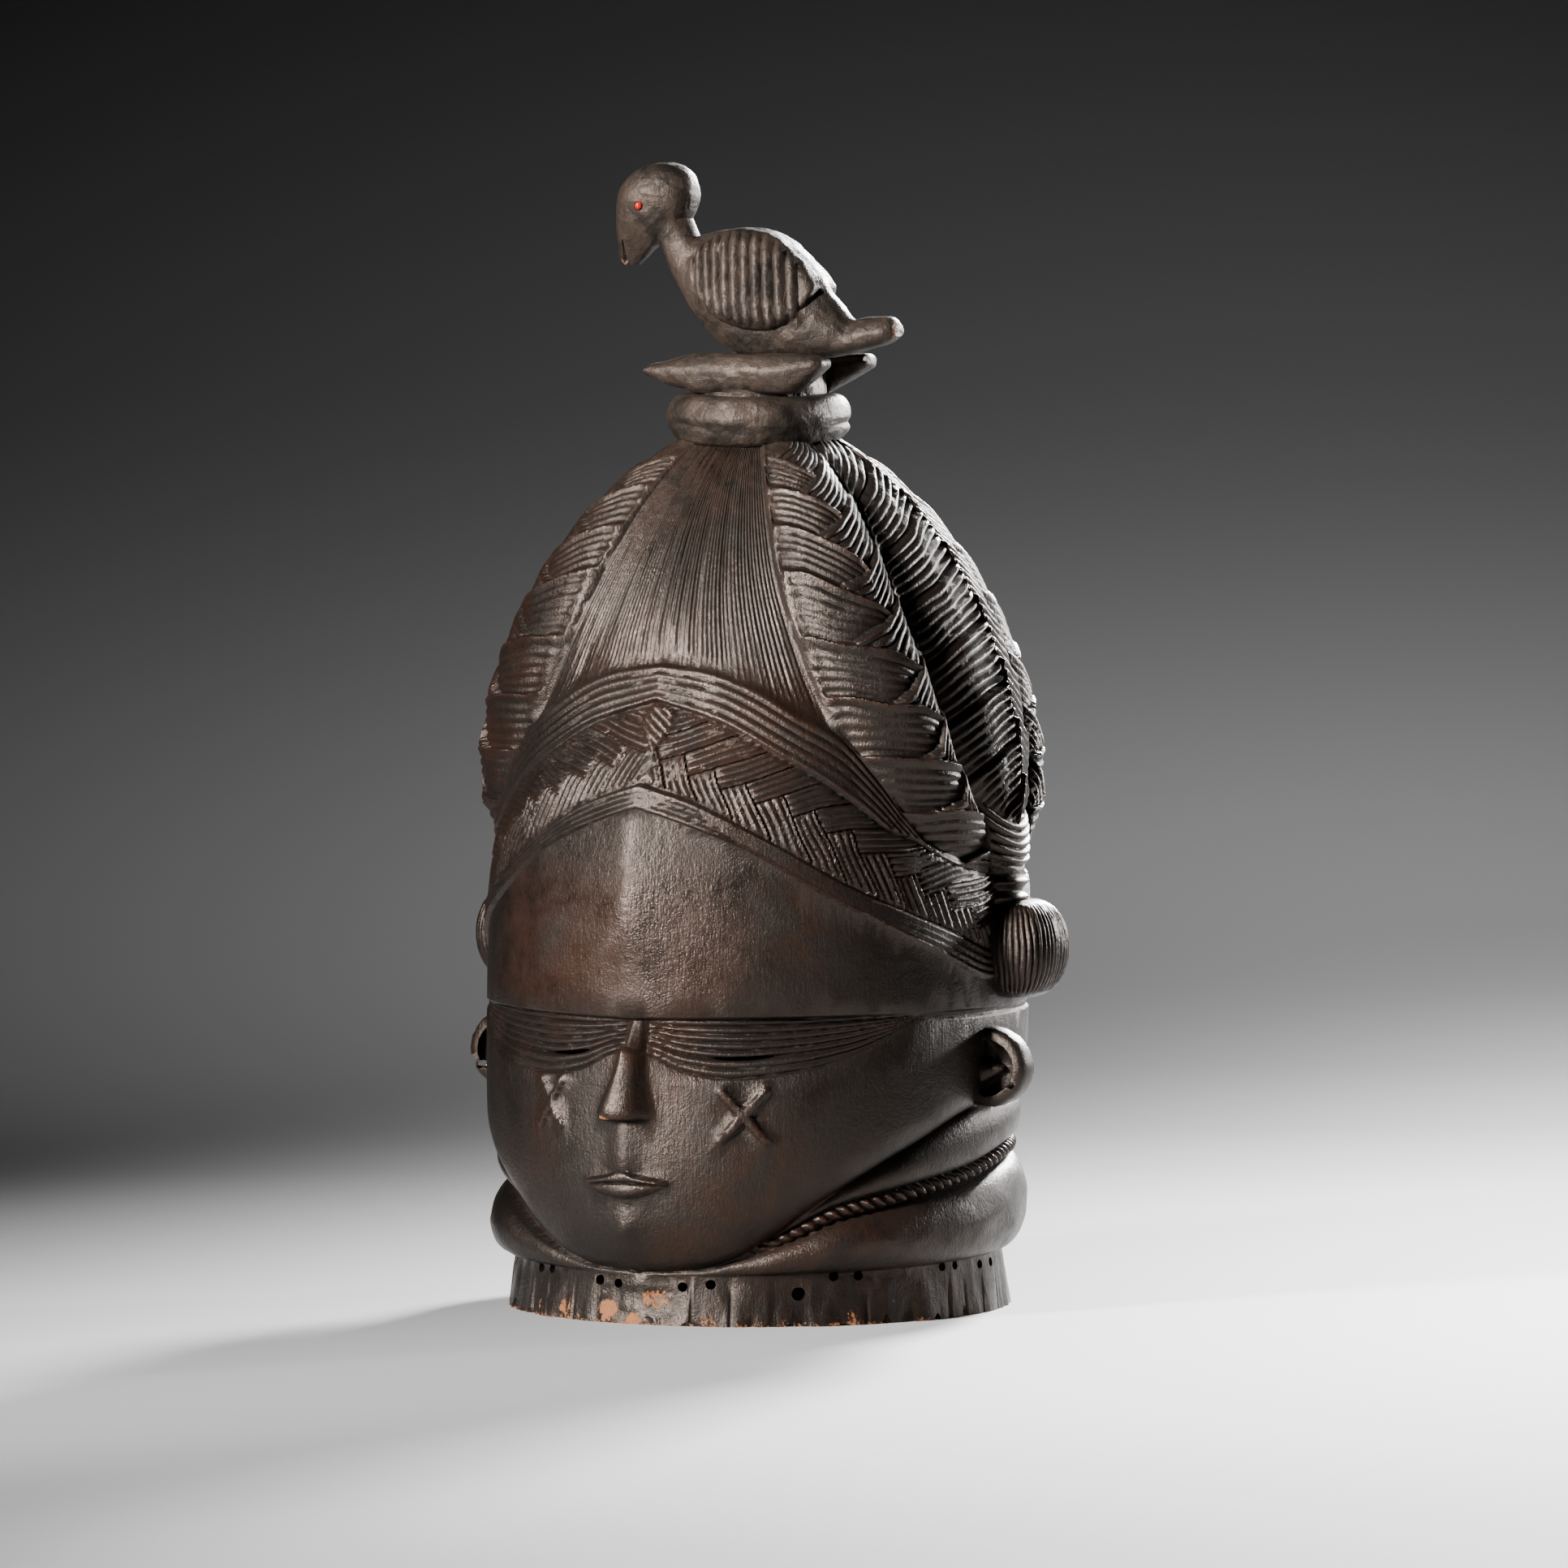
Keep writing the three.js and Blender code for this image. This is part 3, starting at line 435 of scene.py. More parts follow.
# Heights at which the bundles of strokes begin: on the first lobe beside the panel and in the valley, and
# on the second lobe's crest
BUNDLE_TOPS = (349, 335, 324, 308.6, 291, 265, 242.5, 220, 198.5, 178, HAIR_FOOT_Z - 1)
FOLD_TOPS = (352, 337, 321.7, 303, 285, 261, 241, 221, 200, 181, HAIR_FOOT_Z)
CREST_TOPS = (354, 334, 314, 294, 272, 248, 225, 203, 184, 168, 150)


def block_number(tops):
    """A line that rises by one from each block's top to the next one's below it."""
    return through(*[(z, len(tops) - i) for i, z in enumerate(reversed(tops))])


bundle_number = block_number(BUNDLE_TOPS)
fold_number = block_number(FOLD_TOPS)
crest_number = block_number(CREST_TOPS)
arch_drop = through((195, 0.5), (218, 1.5), (240, 4), (262, 6), (285, 14), (303, 11), (322, 6), (335, 5))
fold_start = through((180, 1.88), (221, 1.88), (240, 1.8), (262, 1.75), (300, 1.62), (335, 1.7))
fold_rise = through((180, 20), (221, 20), (262, 18), (300, 17.2), (335, 14))
CREST_RISE = 19.0
BUNDLE_STEP, CREST_STEP = 2.4, 1.7
STROKES, ARCHED_STROKES, CREST_STROKES = 6, 5.5, 6  # in one bundle
PANEL_GROOVES = 28
BACK_FULLNESS = 0.03


def hair_crest(z):
    """How far the hair stands out at each height, before its lobes are cut."""
    low = HAIR_RADIUS - 0.0055 * (HAIR_WIDEST_Z - z) ** 2
    rise = np.clip((z - HAIR_WIDEST_Z) / (HAIR_APEX_Z - HAIR_WIDEST_Z), 0, 0.97)
    return np.where(z < HAIR_WIDEST_Z, low, HAIR_RADIUS * (1 - rise**1.8) ** (1 / 1.8))


def hair_place(size, z):
    """The place between the hair's lines: 0 to 1 on the panel, 1 to 3 on the first lobe and 3 to 4 on the
    second."""
    forward = np.where(size > SIDE_AXIS, (180 - size) * SIDE_AXIS / (180 - SIDE_AXIS), size)
    ends = [0.0 * z, panel_edge(z), parting(z), valley(z), SIDE_AXIS + 0.0 * z]
    place = 0.0
    for i in range(4):
        share = np.clip((forward - ends[i]) / (ends[i + 1] - ends[i]), 0, 1)
        place = place + share
    return place


def first_lobe(place, z, azimuth):
    """Strokes that arch down to the parting, and steep ones that rise from it, bundle under bundle."""
    wander = 0.05 * hand_noise(azimuth / 8, z / 14, 0, 14)
    arch = arch_drop(z) * np.clip((place - 1.1) / 0.95, 0, 1.6) ** 1.6
    start = fold_start(z)
    rise = fold_rise(z) * np.clip((3.05 - place) / (3.05 - start), 0, 1.15)
    bundles, folds = bundle_number(z + arch) + wander, fold_number(z + rise) + wander
    is_arched, arched, folded, clear = weave(bundles, folds, 0.05)
    tilt = 0.05 * hand_noise(azimuth / 4, z / 6, 1, 15)
    strokes = ridges(ARCHED_STROKES * arched + tilt, 0.7) - 1
    left = -BUNDLE_STEP * arched**0.8 + strokes * eased(0.0, 0.08, arched) + 0.6 * eased(0.1, 0.03, arched)
    pocket = eased(0.35, 0.0, 1 - folded) * eased(start - 0.2, start + 0.1, place)
    left = left - 0.9 * pocket * eased(0.02, 0.25, arched)
    strokes = ridges(STROKES * folded + tilt, 0.8) - 1
    right = 0.5 - BUNDLE_STEP * folded**0.8 + 1.4 * strokes * eased(0.02, 0.14, folded)
    right = right - 1.2 * eased(0.05, 0.0, folded)
    return np.where(is_arched, left, right) - 0.7 * (1 - clear)


def second_lobe(place, z, azimuth, behind):
    """Straight strokes that rise from the valley to a jagged crest over the ear, in bundles."""
    wander = 0.05 * hand_noise(azimuth / 8, z / 14, 2, 18)
    share = crest_number(z + CREST_RISE * (4 - place) ** 1.1) + wander + 0.45 * behind
    share = share - np.floor(share)
    tilt = 0.08 * hand_noise(azimuth / 5, z / 8, 3, 19)
    strokes = ridges(CREST_STROKES * share + tilt, 0.8)
    depth = mix(0.9, 1.7, eased(3.1, 3.85, place))
    crest = 1.3 * eased(3.7, 3.98, place) * strokes
    edge = 0.9 * eased(0.07, 0.0, np.minimum(share, 1 - share))
    return depth * (strokes - 1) - CREST_STEP * share + crest - edge


def panel_combing(place):
    """The count of grooves from the middle of the panel, cut by hand and so not quite even."""
    even = PANEL_GROOVES * place
    return even + 0.28 * hand_noise(even / 1.7, 0.5, 0.5, 16)


def hair(azimuth, size, z):
    """Three plaited lobes on each side of a finely grooved panel, and the same again behind."""
    place = hair_place(size, z)
    behind = eased(SIDE_AXIS - 1, SIDE_AXIS + 1, size)
    crest = hair_crest(z) * (crest_share(place) + behind * BACK_FULLNESS * (1 - place / 4))
    relief = np.where(place < 3, first_lobe(place, z, azimuth), second_lobe(place, z, azimuth, behind))
    relief = relief * eased(0.985, 1.04, place) * (0.35 + 0.65 * eased(0.0, 0.07, np.abs(place - 3)))
    fine = ridges(panel_combing(place), 0.7) - 1
    deep = 0.8 + 0.3 * hand_noise(PANEL_GROOVES * place / 2.5, z / 60, 4, 17)
    panel = 0.85 * fine * deep * eased(1.0, 0.97, place)
    beads = ridges(z / 5.2 + 0.6 * hand_noise(z / 9, 0, azimuth / 90, 34), 1.0)
    serration = 1.5 * eased(0.09, 0.0, np.abs(place - 1.03)) * (0.4 + 0.6 * beads)
    foot = high_band_top(size)
    reach = mix(16.0, 7.0, eased(0.8, 1.3, place))
    seat = block_radius(size, z) + 1.0
    rounded = mix(seat, crest, dome(1 - np.clip((z - foot) / reach, 0, 1)) ** 1.3)
    full = rounded + (relief + panel + serration) * eased(foot, foot + 3, z)
    return np.where(z < foot, 0, full)


TIE_FOOT_Z, TIE_TOP_Z = 158, 206
GATHER_Z = 216.0  # the middle of the arcs in which the gathered hair hangs over each roll
tie_half = through(
    (158, 8), (163, 13), (166, 10.5), (169, 13.5), (172, 11.5), (179, 18), (190, 22), (206, 26),
)
tie_proud = through(
    (158, 8), (163, 12), (166, 9.5), (169, 12), (172, 10), (178, 12.5), (190, 11.5), (206, 4),
)


def hair_tie(size, z):
    """The hair gathered over each side roll: it hangs in arcs, and two cords bind it."""
    half, proud = tie_half(z), tie_proud(z)
    off = arc(size - SIDE_AXIS - 0.8, TEMPLE_RADIUS)
    across = np.clip(off / half, -1, 1)
    bound = eased(176, 171, z)
    rings = 0.8 * ridges(z / 3.0, 0.7) * bound
    strands = 2.0 * (ridges(np.hypot(off, z - GATHER_Z) / 3.4, 0.8) - 1) * (1 - bound)
    return 101.5 + (proud + rings) * dome(across) + strands - 12 * (np.abs(off) >= half)


EDGE = 0.55  # half the width over which one zone runs into the next


def block_surface(azimuth, z):
    """The radius of the carved block at every azimuth and height, with all its relief."""
    size = np.abs(azimuth)
    radius = rim_surface(azimuth, size, z)
    zones = (
        (rim_top, neck_ring), (ring_top, rope), (rope_top, jaw_fold), (jaw, face), (lid_line, eye_band),
        (brow_line, forehead), (hairline, low_band), (low_band_top, plait), (plait_top, high_band),
    )
    for line, zone in zones:
        radius = mix(radius, zone(azimuth, size, z), eased(-EDGE, EDGE, past(line, size, z)))
    under_hair = block_radius(size, z) + 0.4 - 0.9 * np.clip(z - high_band_top(size), 0, 60)
    radius = mix(radius, under_hair, eased(-EDGE, EDGE, past(high_band_top, size, z)))
    radius = np.where(z > HAIR_FOOT_Z, np.maximum(radius, hair(azimuth, size, z)), radius)
    return np.maximum(radius, np.where((z > TIE_FOOT_Z) & (z < TIE_TOP_Z), hair_tie(size, z), 0))


# Closed skins and solids
def loft(rings):
    """A closed skin over rings of points, with a point in the middle of each end."""
    rings = np.asarray(rings, float)
    rows, count, _ = rings.shape
    here = np.arange(rows * count).reshape(rows, count)
    beside = np.roll(here, -1, axis=1)
    foot, top = rows * count, rows * count + 1
    points = np.concatenate([rings.reshape(-1, 3), rings[0].mean(0)[None], rings[-1].mean(0)[None]])
    faces = np.concatenate([
        np.stack([here[:-1], beside[:-1], beside[1:]], axis=-1).reshape(-1, 3),
        np.stack([here[:-1], beside[1:], here[1:]], axis=-1).reshape(-1, 3),
        np.stack([np.full(count, foot), beside[0], here[0]], axis=-1),
        np.stack([np.full(count, top), here[-1], beside[-1]], axis=-1),
    ])
    a, b, c = (points[faces[:, k]] for k in range(3))
    room = (a * np.cross(b, c)).sum()
    return points, faces if room > 0 else faces[:, ::-1]


def mesh_object(name, skins):
    """One object from a list of closed skins, moved so that the rim's middle is where the solid has it."""
    starts = np.cumsum([0] + [len(points) for points, _ in skins])
    points = np.concatenate([points for points, _ in skins]) + (0, RIM_MIDDLE_Y, 0)
    faces = np.concatenate([faces + start for (_, faces), start in zip(skins, starts)])
    mesh = bpy.data.meshes.new(name)
    mesh.vertices.add(len(points))
    mesh.vertices.foreach_set("co", (points * MM).ravel())
    mesh.loops.add(faces.size)
    mesh.loops.foreach_set("vertex_index", faces.ravel())
    mesh.polygons.add(len(faces))
    mesh.polygons.foreach_set("loop_start", np.arange(0, faces.size, 3))
    mesh.update(calc_edges=True)
    made = bpy.data.objects.new(name, mesh)
    bpy.context.scene.collection.objects.link(made)
    return made


def remove(thing):
    mesh = thing.data
    bpy.data.objects.remove(thing)
    bpy.data.meshes.remove(mesh)


def applied(thing):
    """Turns an object's modifiers into its mesh."""
    bpy.context.view_layer.update()
    evaluated = thing.evaluated_get(bpy.context.evaluated_depsgraph_get())
    mesh = bpy.data.meshes.new_from_object(evaluated)
    old = thing.data
    thing.modifiers.clear()
    thing.data = mesh
    bpy.data.meshes.remove(old)


def combine(thing, other, operation):
    """Joins another solid to one, or cuts it out of it, and uses it up."""
    step = thing.modifiers.new(operation.lower(), "BOOLEAN")
    step.operation = operation
    step.solver = "MANIFOLD"
    step.object = other
    applied(thing)
    remove(other)


def united(*skins):
    """One solid from closed skins that overlap."""
    whole = mesh_object("solid", skins[:1])
    for skin in skins[1:]:
        combine(whole, mesh_object("next", [skin]), "UNION")
    return whole


def cut(thing, *skins):
    """Cuts closed skins that stay clear of each other out of a solid."""
    combine(thing, mesh_object("cuts", skins), "DIFFERENCE")


def turns_round(count):
    """Angles evenly round a ring."""
    return np.linspace(0, 2 * np.pi, count, endpoint=False)


def level_ring(turn, wide, deep, z, reach=1.0):
    """A ring round the upright axis, whose radii and height may change on the way round."""
    x, y = wide * np.cos(turn) * reach, deep * np.sin(turn) * reach
    return np.stack(np.broadcast_arrays(x, y, z), axis=-1)


def uneven(ring, by, spacing, seed):
    """A ring moved by the hand's unevenness, which has this spacing along x, y and z."""
    return ring + by * hand_noise(*(ring[:, k:k + 1] / spacing[k] for k in range(3)), seed)


def oval(middle, along, up, count, power=2.0):
    """A ring of points on a fat oval round a middle; along and up say how far it reaches."""
    turn = turns_round(count)
    reach = [np.sign(v) * np.abs(v) ** (2 / power) for v in (np.cos(turn), np.sin(turn))]
    return np.asarray(middle, float) + np.outer(reach[0], along) + np.outer(reach[1], up)


def mirrored(skin, side):
    """The same skin, on the wearer's left (1) or right (-1)."""
    points, faces = skin
    if side > 0:
        return skin
    return points * (-1, 1, 1), faces[:, ::-1]


def on_skin(azimuth, radius, z):
    """A frame on the block: x runs round towards +X, y runs up and z runs outwards."""
    place = Matrix.Rotation(math.radians(azimuth), 4, "Z") @ Matrix.Translation((0, -radius, z))
    return np.array(place @ Matrix.Rotation(math.pi / 2, 4, "X"))


def softened(radius):
    """Takes the saw teeth off steps that cross the grid at an angle."""
    around_it = np.roll(radius, 1, axis=1) + np.roll(radius, -1, axis=1)
    upright = np.concatenate([radius[:1], radius[:-1]]) + np.concatenate([radius[1:], radius[-1:]])
    return 0.5 * radius + 0.125 * (around_it + upright)


COLUMNS = (140, 110, 40, 90)  # between the hair's lines on a quarter of the head, at the finest step
FINEST_STEP = 0.46
GRID_PARTING, GRID_VALLEY = 70.0, 77.0  # where those lines' columns stand below the hair


def column_azimuths(z, step):
    """Where the grid's columns stand at each height: they follow the hair's lines, so that its grooves run
    along them, and spread out again over the head."""
    on_hair = eased(120, 178, z)
    lobe_lines = (mix(GRID_PARTING, parting(z), on_hair), mix(GRID_VALLEY, valley(z), on_hair))
    lines = (0.0 * z, panel_edge(z), *lobe_lines, SIDE_AXIS + 0.0 * z)
    parts = []
    for line, following, columns in zip(lines, lines[1:], COLUMNS):
        count = max(2, round(columns * FINEST_STEP / step))
        shares = np.arange(count) / count
        parts.append(line + (following - line) * shares)
    front = np.concatenate([*parts, lines[-1]], axis=1)
    back = 180 - front[:, -2::-1] * (180 - SIDE_AXIS) / SIDE_AXIS
    half = np.concatenate([front, back], axis=1)
    return np.concatenate([-half[:, ::-1], half[:, 1:-1]], axis=1)


def block_skin(step):
    """The carved block as one closed skin on a fine grid."""
    z = np.linspace(0, HAIR_TOP_Z, int(HAIR_TOP_Z / step))[:, None]
    azimuth = column_azimuths(z, step)
    grid_z = np.broadcast_to(z, azimuth.shape)
    return loft(around(azimuth, softened(block_surface(azimuth, grid_z)), grid_z))


# Ears
EAR_X, EAR_Y, EAR_Z = 106.0, -3.0, 97.5
EAR_REACH, EAR_HALF_HEIGHT, EAR_DEPTH, EAR_HOLLOW = 17.0, 15.5, 12.0, 5.0
EAR_RIM = 4.6
EAR_ROOT = -12.0  # how far the ear is let into the head
HOLLOW_ROOT = -2.0
# Each layer across the ear is its depth from the ear's back, and how far its outline is drawn in
EAR_LAYERS = ((0, 3.0), (0.8, 1.2), (2.5, 0.0), (9.0, 0.0), (11.0, 0.6), (EAR_DEPTH, 1.8))
HOLLOW_LAYERS = (
    (EAR_DEPTH - EAR_HOLLOW, EAR_RIM + 1.2), (EAR_DEPTH - 3.5, EAR_RIM), (EAR_DEPTH + 4, EAR_RIM - 0.8),
)


def ear_layer(depth, inset, root):
    """A half disc laid across the ear, with its straight side let into the head as far as its root."""
    turn = np.linspace(-np.pi / 2, np.pi / 2, 40)
    reach, half = EAR_REACH - inset, EAR_HALF_HEIGHT - inset
    x = np.maximum(np.append(reach * np.cos(turn), [EAR_ROOT, EAR_ROOT]), root)
    z = np.append(half * np.sin(turn), [0.9 * half, -0.9 * half])
    wavy = 0.35 * hand_noise(x / 5, z / 5, depth / 4, 20)
    return np.stack([EAR_X + x + wavy, np.full(len(x), EAR_Y - depth), EAR_Z + z + wavy], axis=-1)


def ear_skin(side):
    return mirrored(loft([ear_layer(*layer, EAR_ROOT) for layer in EAR_LAYERS]), side)


def ear_hollow(side):
    return mirrored(loft([ear_layer(*layer, HOLLOW_ROOT) for layer in HOLLOW_LAYERS]), side)


def ear_flap(side):
    """The pointed flap in the middle of the ear."""
    rings = []
    for x, half, proud in ((-6, 8.0, 8.5), (0, 5.2, 8.8), (4, 3.0, 7.6), (7.4, 1.0, 5.8)):
        middle = (EAR_X + x, EAR_Y - 6, EAR_Z - 1 + 0.1 * x)
        rings.append(oval(middle, (0, 0, half), (0, proud / 2 + 2.0, 0), 20, 2.4))
    return mirrored(loft(rings), side)


def ear_hole(side):
    middle = np.array([EAR_X + 11.5, EAR_Y, EAR_Z - 6.5])
    rings = [oval(middle + (0, y, 0), (1.7, 0, 0), (0, 0, 1.6), 14) for y in (6, -20)]
    return mirrored(loft(rings), side)


def ear_chips():
    """Two notches broken out of the edge of the wearer's right ear."""
    return [chip((-123.5, -9, 104), (4.5, 9, 4.0), 61), chip((-123, -9, 91), (4.0, 9, 5.0), 62)]


# Side rolls: short bolsters of hair with upright grooves
ROLL_X, ROLL_Y, ROLL_Z = 107.0, 9.0, 143.0
ROLL_REACH, ROLL_HALF_DEPTH, ROLL_HALF_HEIGHT = 20.5, 19.5, 19.0
ROLL_GROOVE = 2.7  # millimetres round the roll from groove to groove
ROLL_POINTS = 340  # round the roll


def side_roll(side):
    """A barrel with rounded corners, and upright grooves all round it that run in over its top and foot."""
    grooves = round(4 * (ROLL_REACH + ROLL_HALF_DEPTH) * 0.9 / ROLL_GROOVE)
    rings = []
    for place in np.linspace(-1, 1, 52):
        size = dome(0.965 * place) ** 0.62
        middle = (ROLL_X, ROLL_Y, ROLL_Z + place * ROLL_HALF_HEIGHT)
        ring = oval(middle, (ROLL_REACH * size, 0, 0), (0, ROLL_HALF_DEPTH * size, 0), ROLL_POINTS, 3.0)
        path = np.cumsum(np.linalg.norm(np.diff(ring, axis=0, prepend=ring[-1:]), axis=1))
        lobes = ridges(grooves * path / path[-1] + 0.15 * hand_noise(path / 9, place * 2, 0, 21), 0.7)
        inwards = (ring - middle) * (-0.055 * (1 - lobes) / max(size, 0.3))[:, None]
        rings.append(ring + inwards * eased(0.99, 0.8, abs(place)))
    return mirrored(loft(rings), side)


# Crown: a thick ring, a rough core and two pointed bars
COLLAR_SWELL, COLLAR_HALF_HEIGHT = 9.0, 10.0
CORE_FOOT_Z = 336.0


def collar_skin():
    """A thick ring cut by hand: a full upper swell, a narrower lower one, and a crease between them."""
    turn = turns_round(144)
    rings = [level_ring(turn, 3, 3, COLLAR_Z - COLLAR_HALF_HEIGHT)]
    for lean in np.linspace(-90, 90, 33):
        radius = COLLAR_RADIUS - COLLAR_SWELL + COLLAR_SWELL * math.cos(math.radians(lean)) ** 0.7
        radius = radius + 0.9 * hand_noise(np.cos(turn) * 3.2, np.sin(turn) * 3.2, lean / 30, 22)
        height = -14 + 7 * np.sin(turn * 2 + 0.4)
        crease = 1.5 * np.exp(-(((lean - height) / 9) ** 2)) * (0.7 + 0.3 * np.sin(turn * 3 + 1))
        radius = radius - crease - 1.2 * eased(-10, -40, lean)
        z = COLLAR_Z + COLLAR_HALF_HEIGHT * math.sin(math.radians(lean)) + 0.7 * np.sin(turn * 2 + 0.6)
        rings.append(level_ring(turn, radius, radius, z))
    rings.append(level_ring(turn, 3, 3, COLLAR_Z + COLLAR_HALF_HEIGHT - 0.4))
    return loft(rings)


def core_skin():
    """The rough core between the bars."""
    turn = turns_round(128)
    rings = []
    for z in np.linspace(CORE_FOOT_Z, BIRD_SEAT_Z, 44):
        radius = CORE_RADIUS + 0.9 * hand_noise(np.cos(turn) * 6, np.sin(turn) * 6, z / 6, 23)
        radius = radius + 0.5 * hand_noise(np.cos(turn) * 14, np.sin(turn) * 14, z / 3, 24) - 0.6
        rings.append(level_ring(turn, radius, radius, z))
    return loft(rings)


BAR_HALF_THICK, BAR_HALF_HEIGHT, BAR_Y = 8.0, 8.0, 20.8
# Each station of a bar is x, its share of the full size, and the height of its middle
FRONT_BAR = (
    (-39, 0.2, 368), (-34, 0.42, 367.6), (-17, 1, 367), (27, 1, 367), (35, 0.6, 369.5),
    (40.5, 0.2, 371.2),
)
BACK_BAR = ((-39, 0.25, 369), (-20, 1, 367), (20, 1, 367), (39.5, 0.34, 371.8))


def bar_skin(stations, y, seed):
    """A boat-shaped bar with a nearly flat top, blunt tips and a soft ridge along its side."""
    xs, sizes, heights = zip(*stations)
    rings = []
    for x in np.linspace(xs[0], xs[-1], 80):
        size = np.interp(x, xs, sizes)
        end = 1 - 0.5 * eased(0.8, 0.0, min(x - xs[0], xs[-1] - x))
        middle = (x, y, np.interp(x, xs, heights))
        across = (0, BAR_HALF_THICK * (0.55 + 0.45 * size) * end, 0)
        ring = oval(middle, across, (0, 0, BAR_HALF_HEIGHT * size * end), 48, 2.5)
        lift = (ring[:, 2] - middle[2]) / BAR_HALF_HEIGHT
        ring[:, 1] += np.sign(ring[:, 1] - y) * 0.8 * eased(0.5, 0.0, np.abs(lift - 0.15)) * size
        rings.append(uneven(ring, 0.45, (7, 5, 5), seed))
    return loft(rings)


# Bird, looking along -X. Each line gives a size against x, or against z on the head.
bird_foot = through(
    (-39, 409), (-33, 399), (-24, 387.5), (-14, 377.5), (0, 372), (14, 371.8), (26, 372.6), (36, 373.6),
    (43, 375), (50, 376.8), (57, 378.6), (61.5, 381.5),
)
bird_back = through(
    (-39, 414), (-33, 419), (-24, 421.5), (-14, 423.5), (0, 424.5), (14, 419), (26, 407), (36, 394.5),
    (42.6, 388), (44.5, 388.6), (50, 389.4), (57, 389.4), (60, 388.4), (61.5, 386.5),
)
bird_half_width = through(
    (-39, 3.5), (-33, 8), (-24, 11.5), (-14, 13.5), (0, 14), (14, 13), (26, 11.5), (36, 9.5), (42, 7.6),
    (44.5, 8.2), (57, 7.4), (60, 6), (61.5, 4.4),
)
BACK_TAPER = 0.4
BREAST_X, TAIL_X = -39.0, 61.5


def bird_body():
    """The body is lofted from the breast to the tail, and is narrower above."""
    rings = []
    for x in np.linspace(BREAST_X, TAIL_X, 130):
        foot, back, half = bird_foot(x), bird_back(x), bird_half_width(x)
        middle, tall = (foot + back) / 2, (back - foot) / 2
        ring = oval((x, 0, middle), (0, half, 0), (0, 0, tall), 64, 2.5)
        ring[:, 1] *= 1 - BACK_TAPER * np.maximum(0, (ring[:, 2] - middle) / tall)
        rings.append(uneven(ring, 0.35, (8, 6, 7), 26))
    return loft(rings)


head_front = through(
    (409.6, -59.5), (411, -60.8), (414, -61.9), (424, -61.9), (430.5, -61.5), (437.5, -60.5),
    (444, -56.5), (448.3, -50), (450, -44),
)
head_back = through(
    (409.6, -53), (411, -51.6), (414, -48.6), (419, -43), (424, -35), (430.5, -29.4), (437.5, -27.5),
    (444, -29.2), (448.3, -34), (450, -38.5),
)
head_half_width = through(
    (409.6, 1.6), (411, 2.6), (417, 5), (424, 8.8), (430.5, 11.1), (437.5, 12), (444, 10.4), (448.3, 7),
    (450, 3),
)
BEAK_TIP_Z, HEAD_TOP_Z = 409.6, 450.0
CHEEK_BACK_X = -40.0  # behind here the flat side of the head rounds off
# Each ring of the neck is its height, front, back and half width
NECK = (
    (392, -26, -8, 8), (402, -33.4, -14, 8.5), (410, -38.4, -20, 8.3), (418, -43.6, -25.5, 7.6),
    (428, -48.5, -30, 7.2),
)


def bird_head():
    """The head is lofted upwards from the beak's tip, with a flat cheek on each side."""
    rings = []
    for z in np.linspace(BEAK_TIP_Z, HEAD_TOP_Z, 80):
        front, back, half = head_front(z), head_back(z), head_half_width(z)
        ring = oval(((front + back) / 2, 0, z), ((back - front) / 2, 0, 0), (0, half, 0), 72, 2.9)
        behind = np.clip((ring[:, 0] - CHEEK_BACK_X) / 13, 0, 1)
        ring[:, 1] *= 1 - 0.3 * behind**1.3
        rings.append(uneven(ring, 0.3, (7, 6, 7), 27))
    return loft(rings)


# The wedge between the beak's tips, as x and height
BEAK_WEDGE = (
    (-60.2, 407.0), (-55.6, 407.0), (-57.3, 412.5), (-57.6, 419.5), (-58.2, 419.5), (-58.8, 412.5),
)


def beak_split():
    """The open end of the beak: a thin wedge between its two tips."""
    return loft([[(x, y, z) for x, z in BEAK_WEDGE] for y in (-8, 8)])


def bird_neck():
    """A short leaning neck between the breast and the head."""
    heights = [station[0] for station in NECK]
    rings = []
    for z in np.linspace(heights[0], heights[-1], 24):
        front, back, half = (np.interp(z, heights, values) for values in list(zip(*NECK))[1:])
        ring = oval(((front + back) / 2, 0, z), ((back - front) / 2, 0, 0), (0, half, 0), 48, 2.2)
        rings.append(uneven(ring, 0.3, (7, 6, 7), 31))
    return loft(rings)


wing_top = through(
    (-26, 410), (-25, 414), (-21, 419), (-13, 423), (-4, 424.3), (5, 423), (13, 419.3), (20, 413.2),
    (26, 407), (29.5, 401.5),
)
wing_foot = through(
    (-26, 408), (-25, 403.5), (-23.5, 400), (-14, 389.5), (-3, 384.9), (9, 383.6), (20, 386.5), (26, 393),
    (29.5, 400.5),
)
WING_ROOT, WING_PROUD, WING_FLUTES, WING_LEAN = 4.0, 12.4, 11, 0.2
WING_FLUTES_END = 23.0  # behind here the wing is plain
FLUTE_LEAN, FLUTE_MIDDLE_Z = 0.12, 403.0
WING_FRONT, WING_REAR = -26.0, 29.5
MOAT = 1.4  # width of the cut round the wing
MOAT_Y, MOAT_HALF_DEPTH = 21.8, 10.0


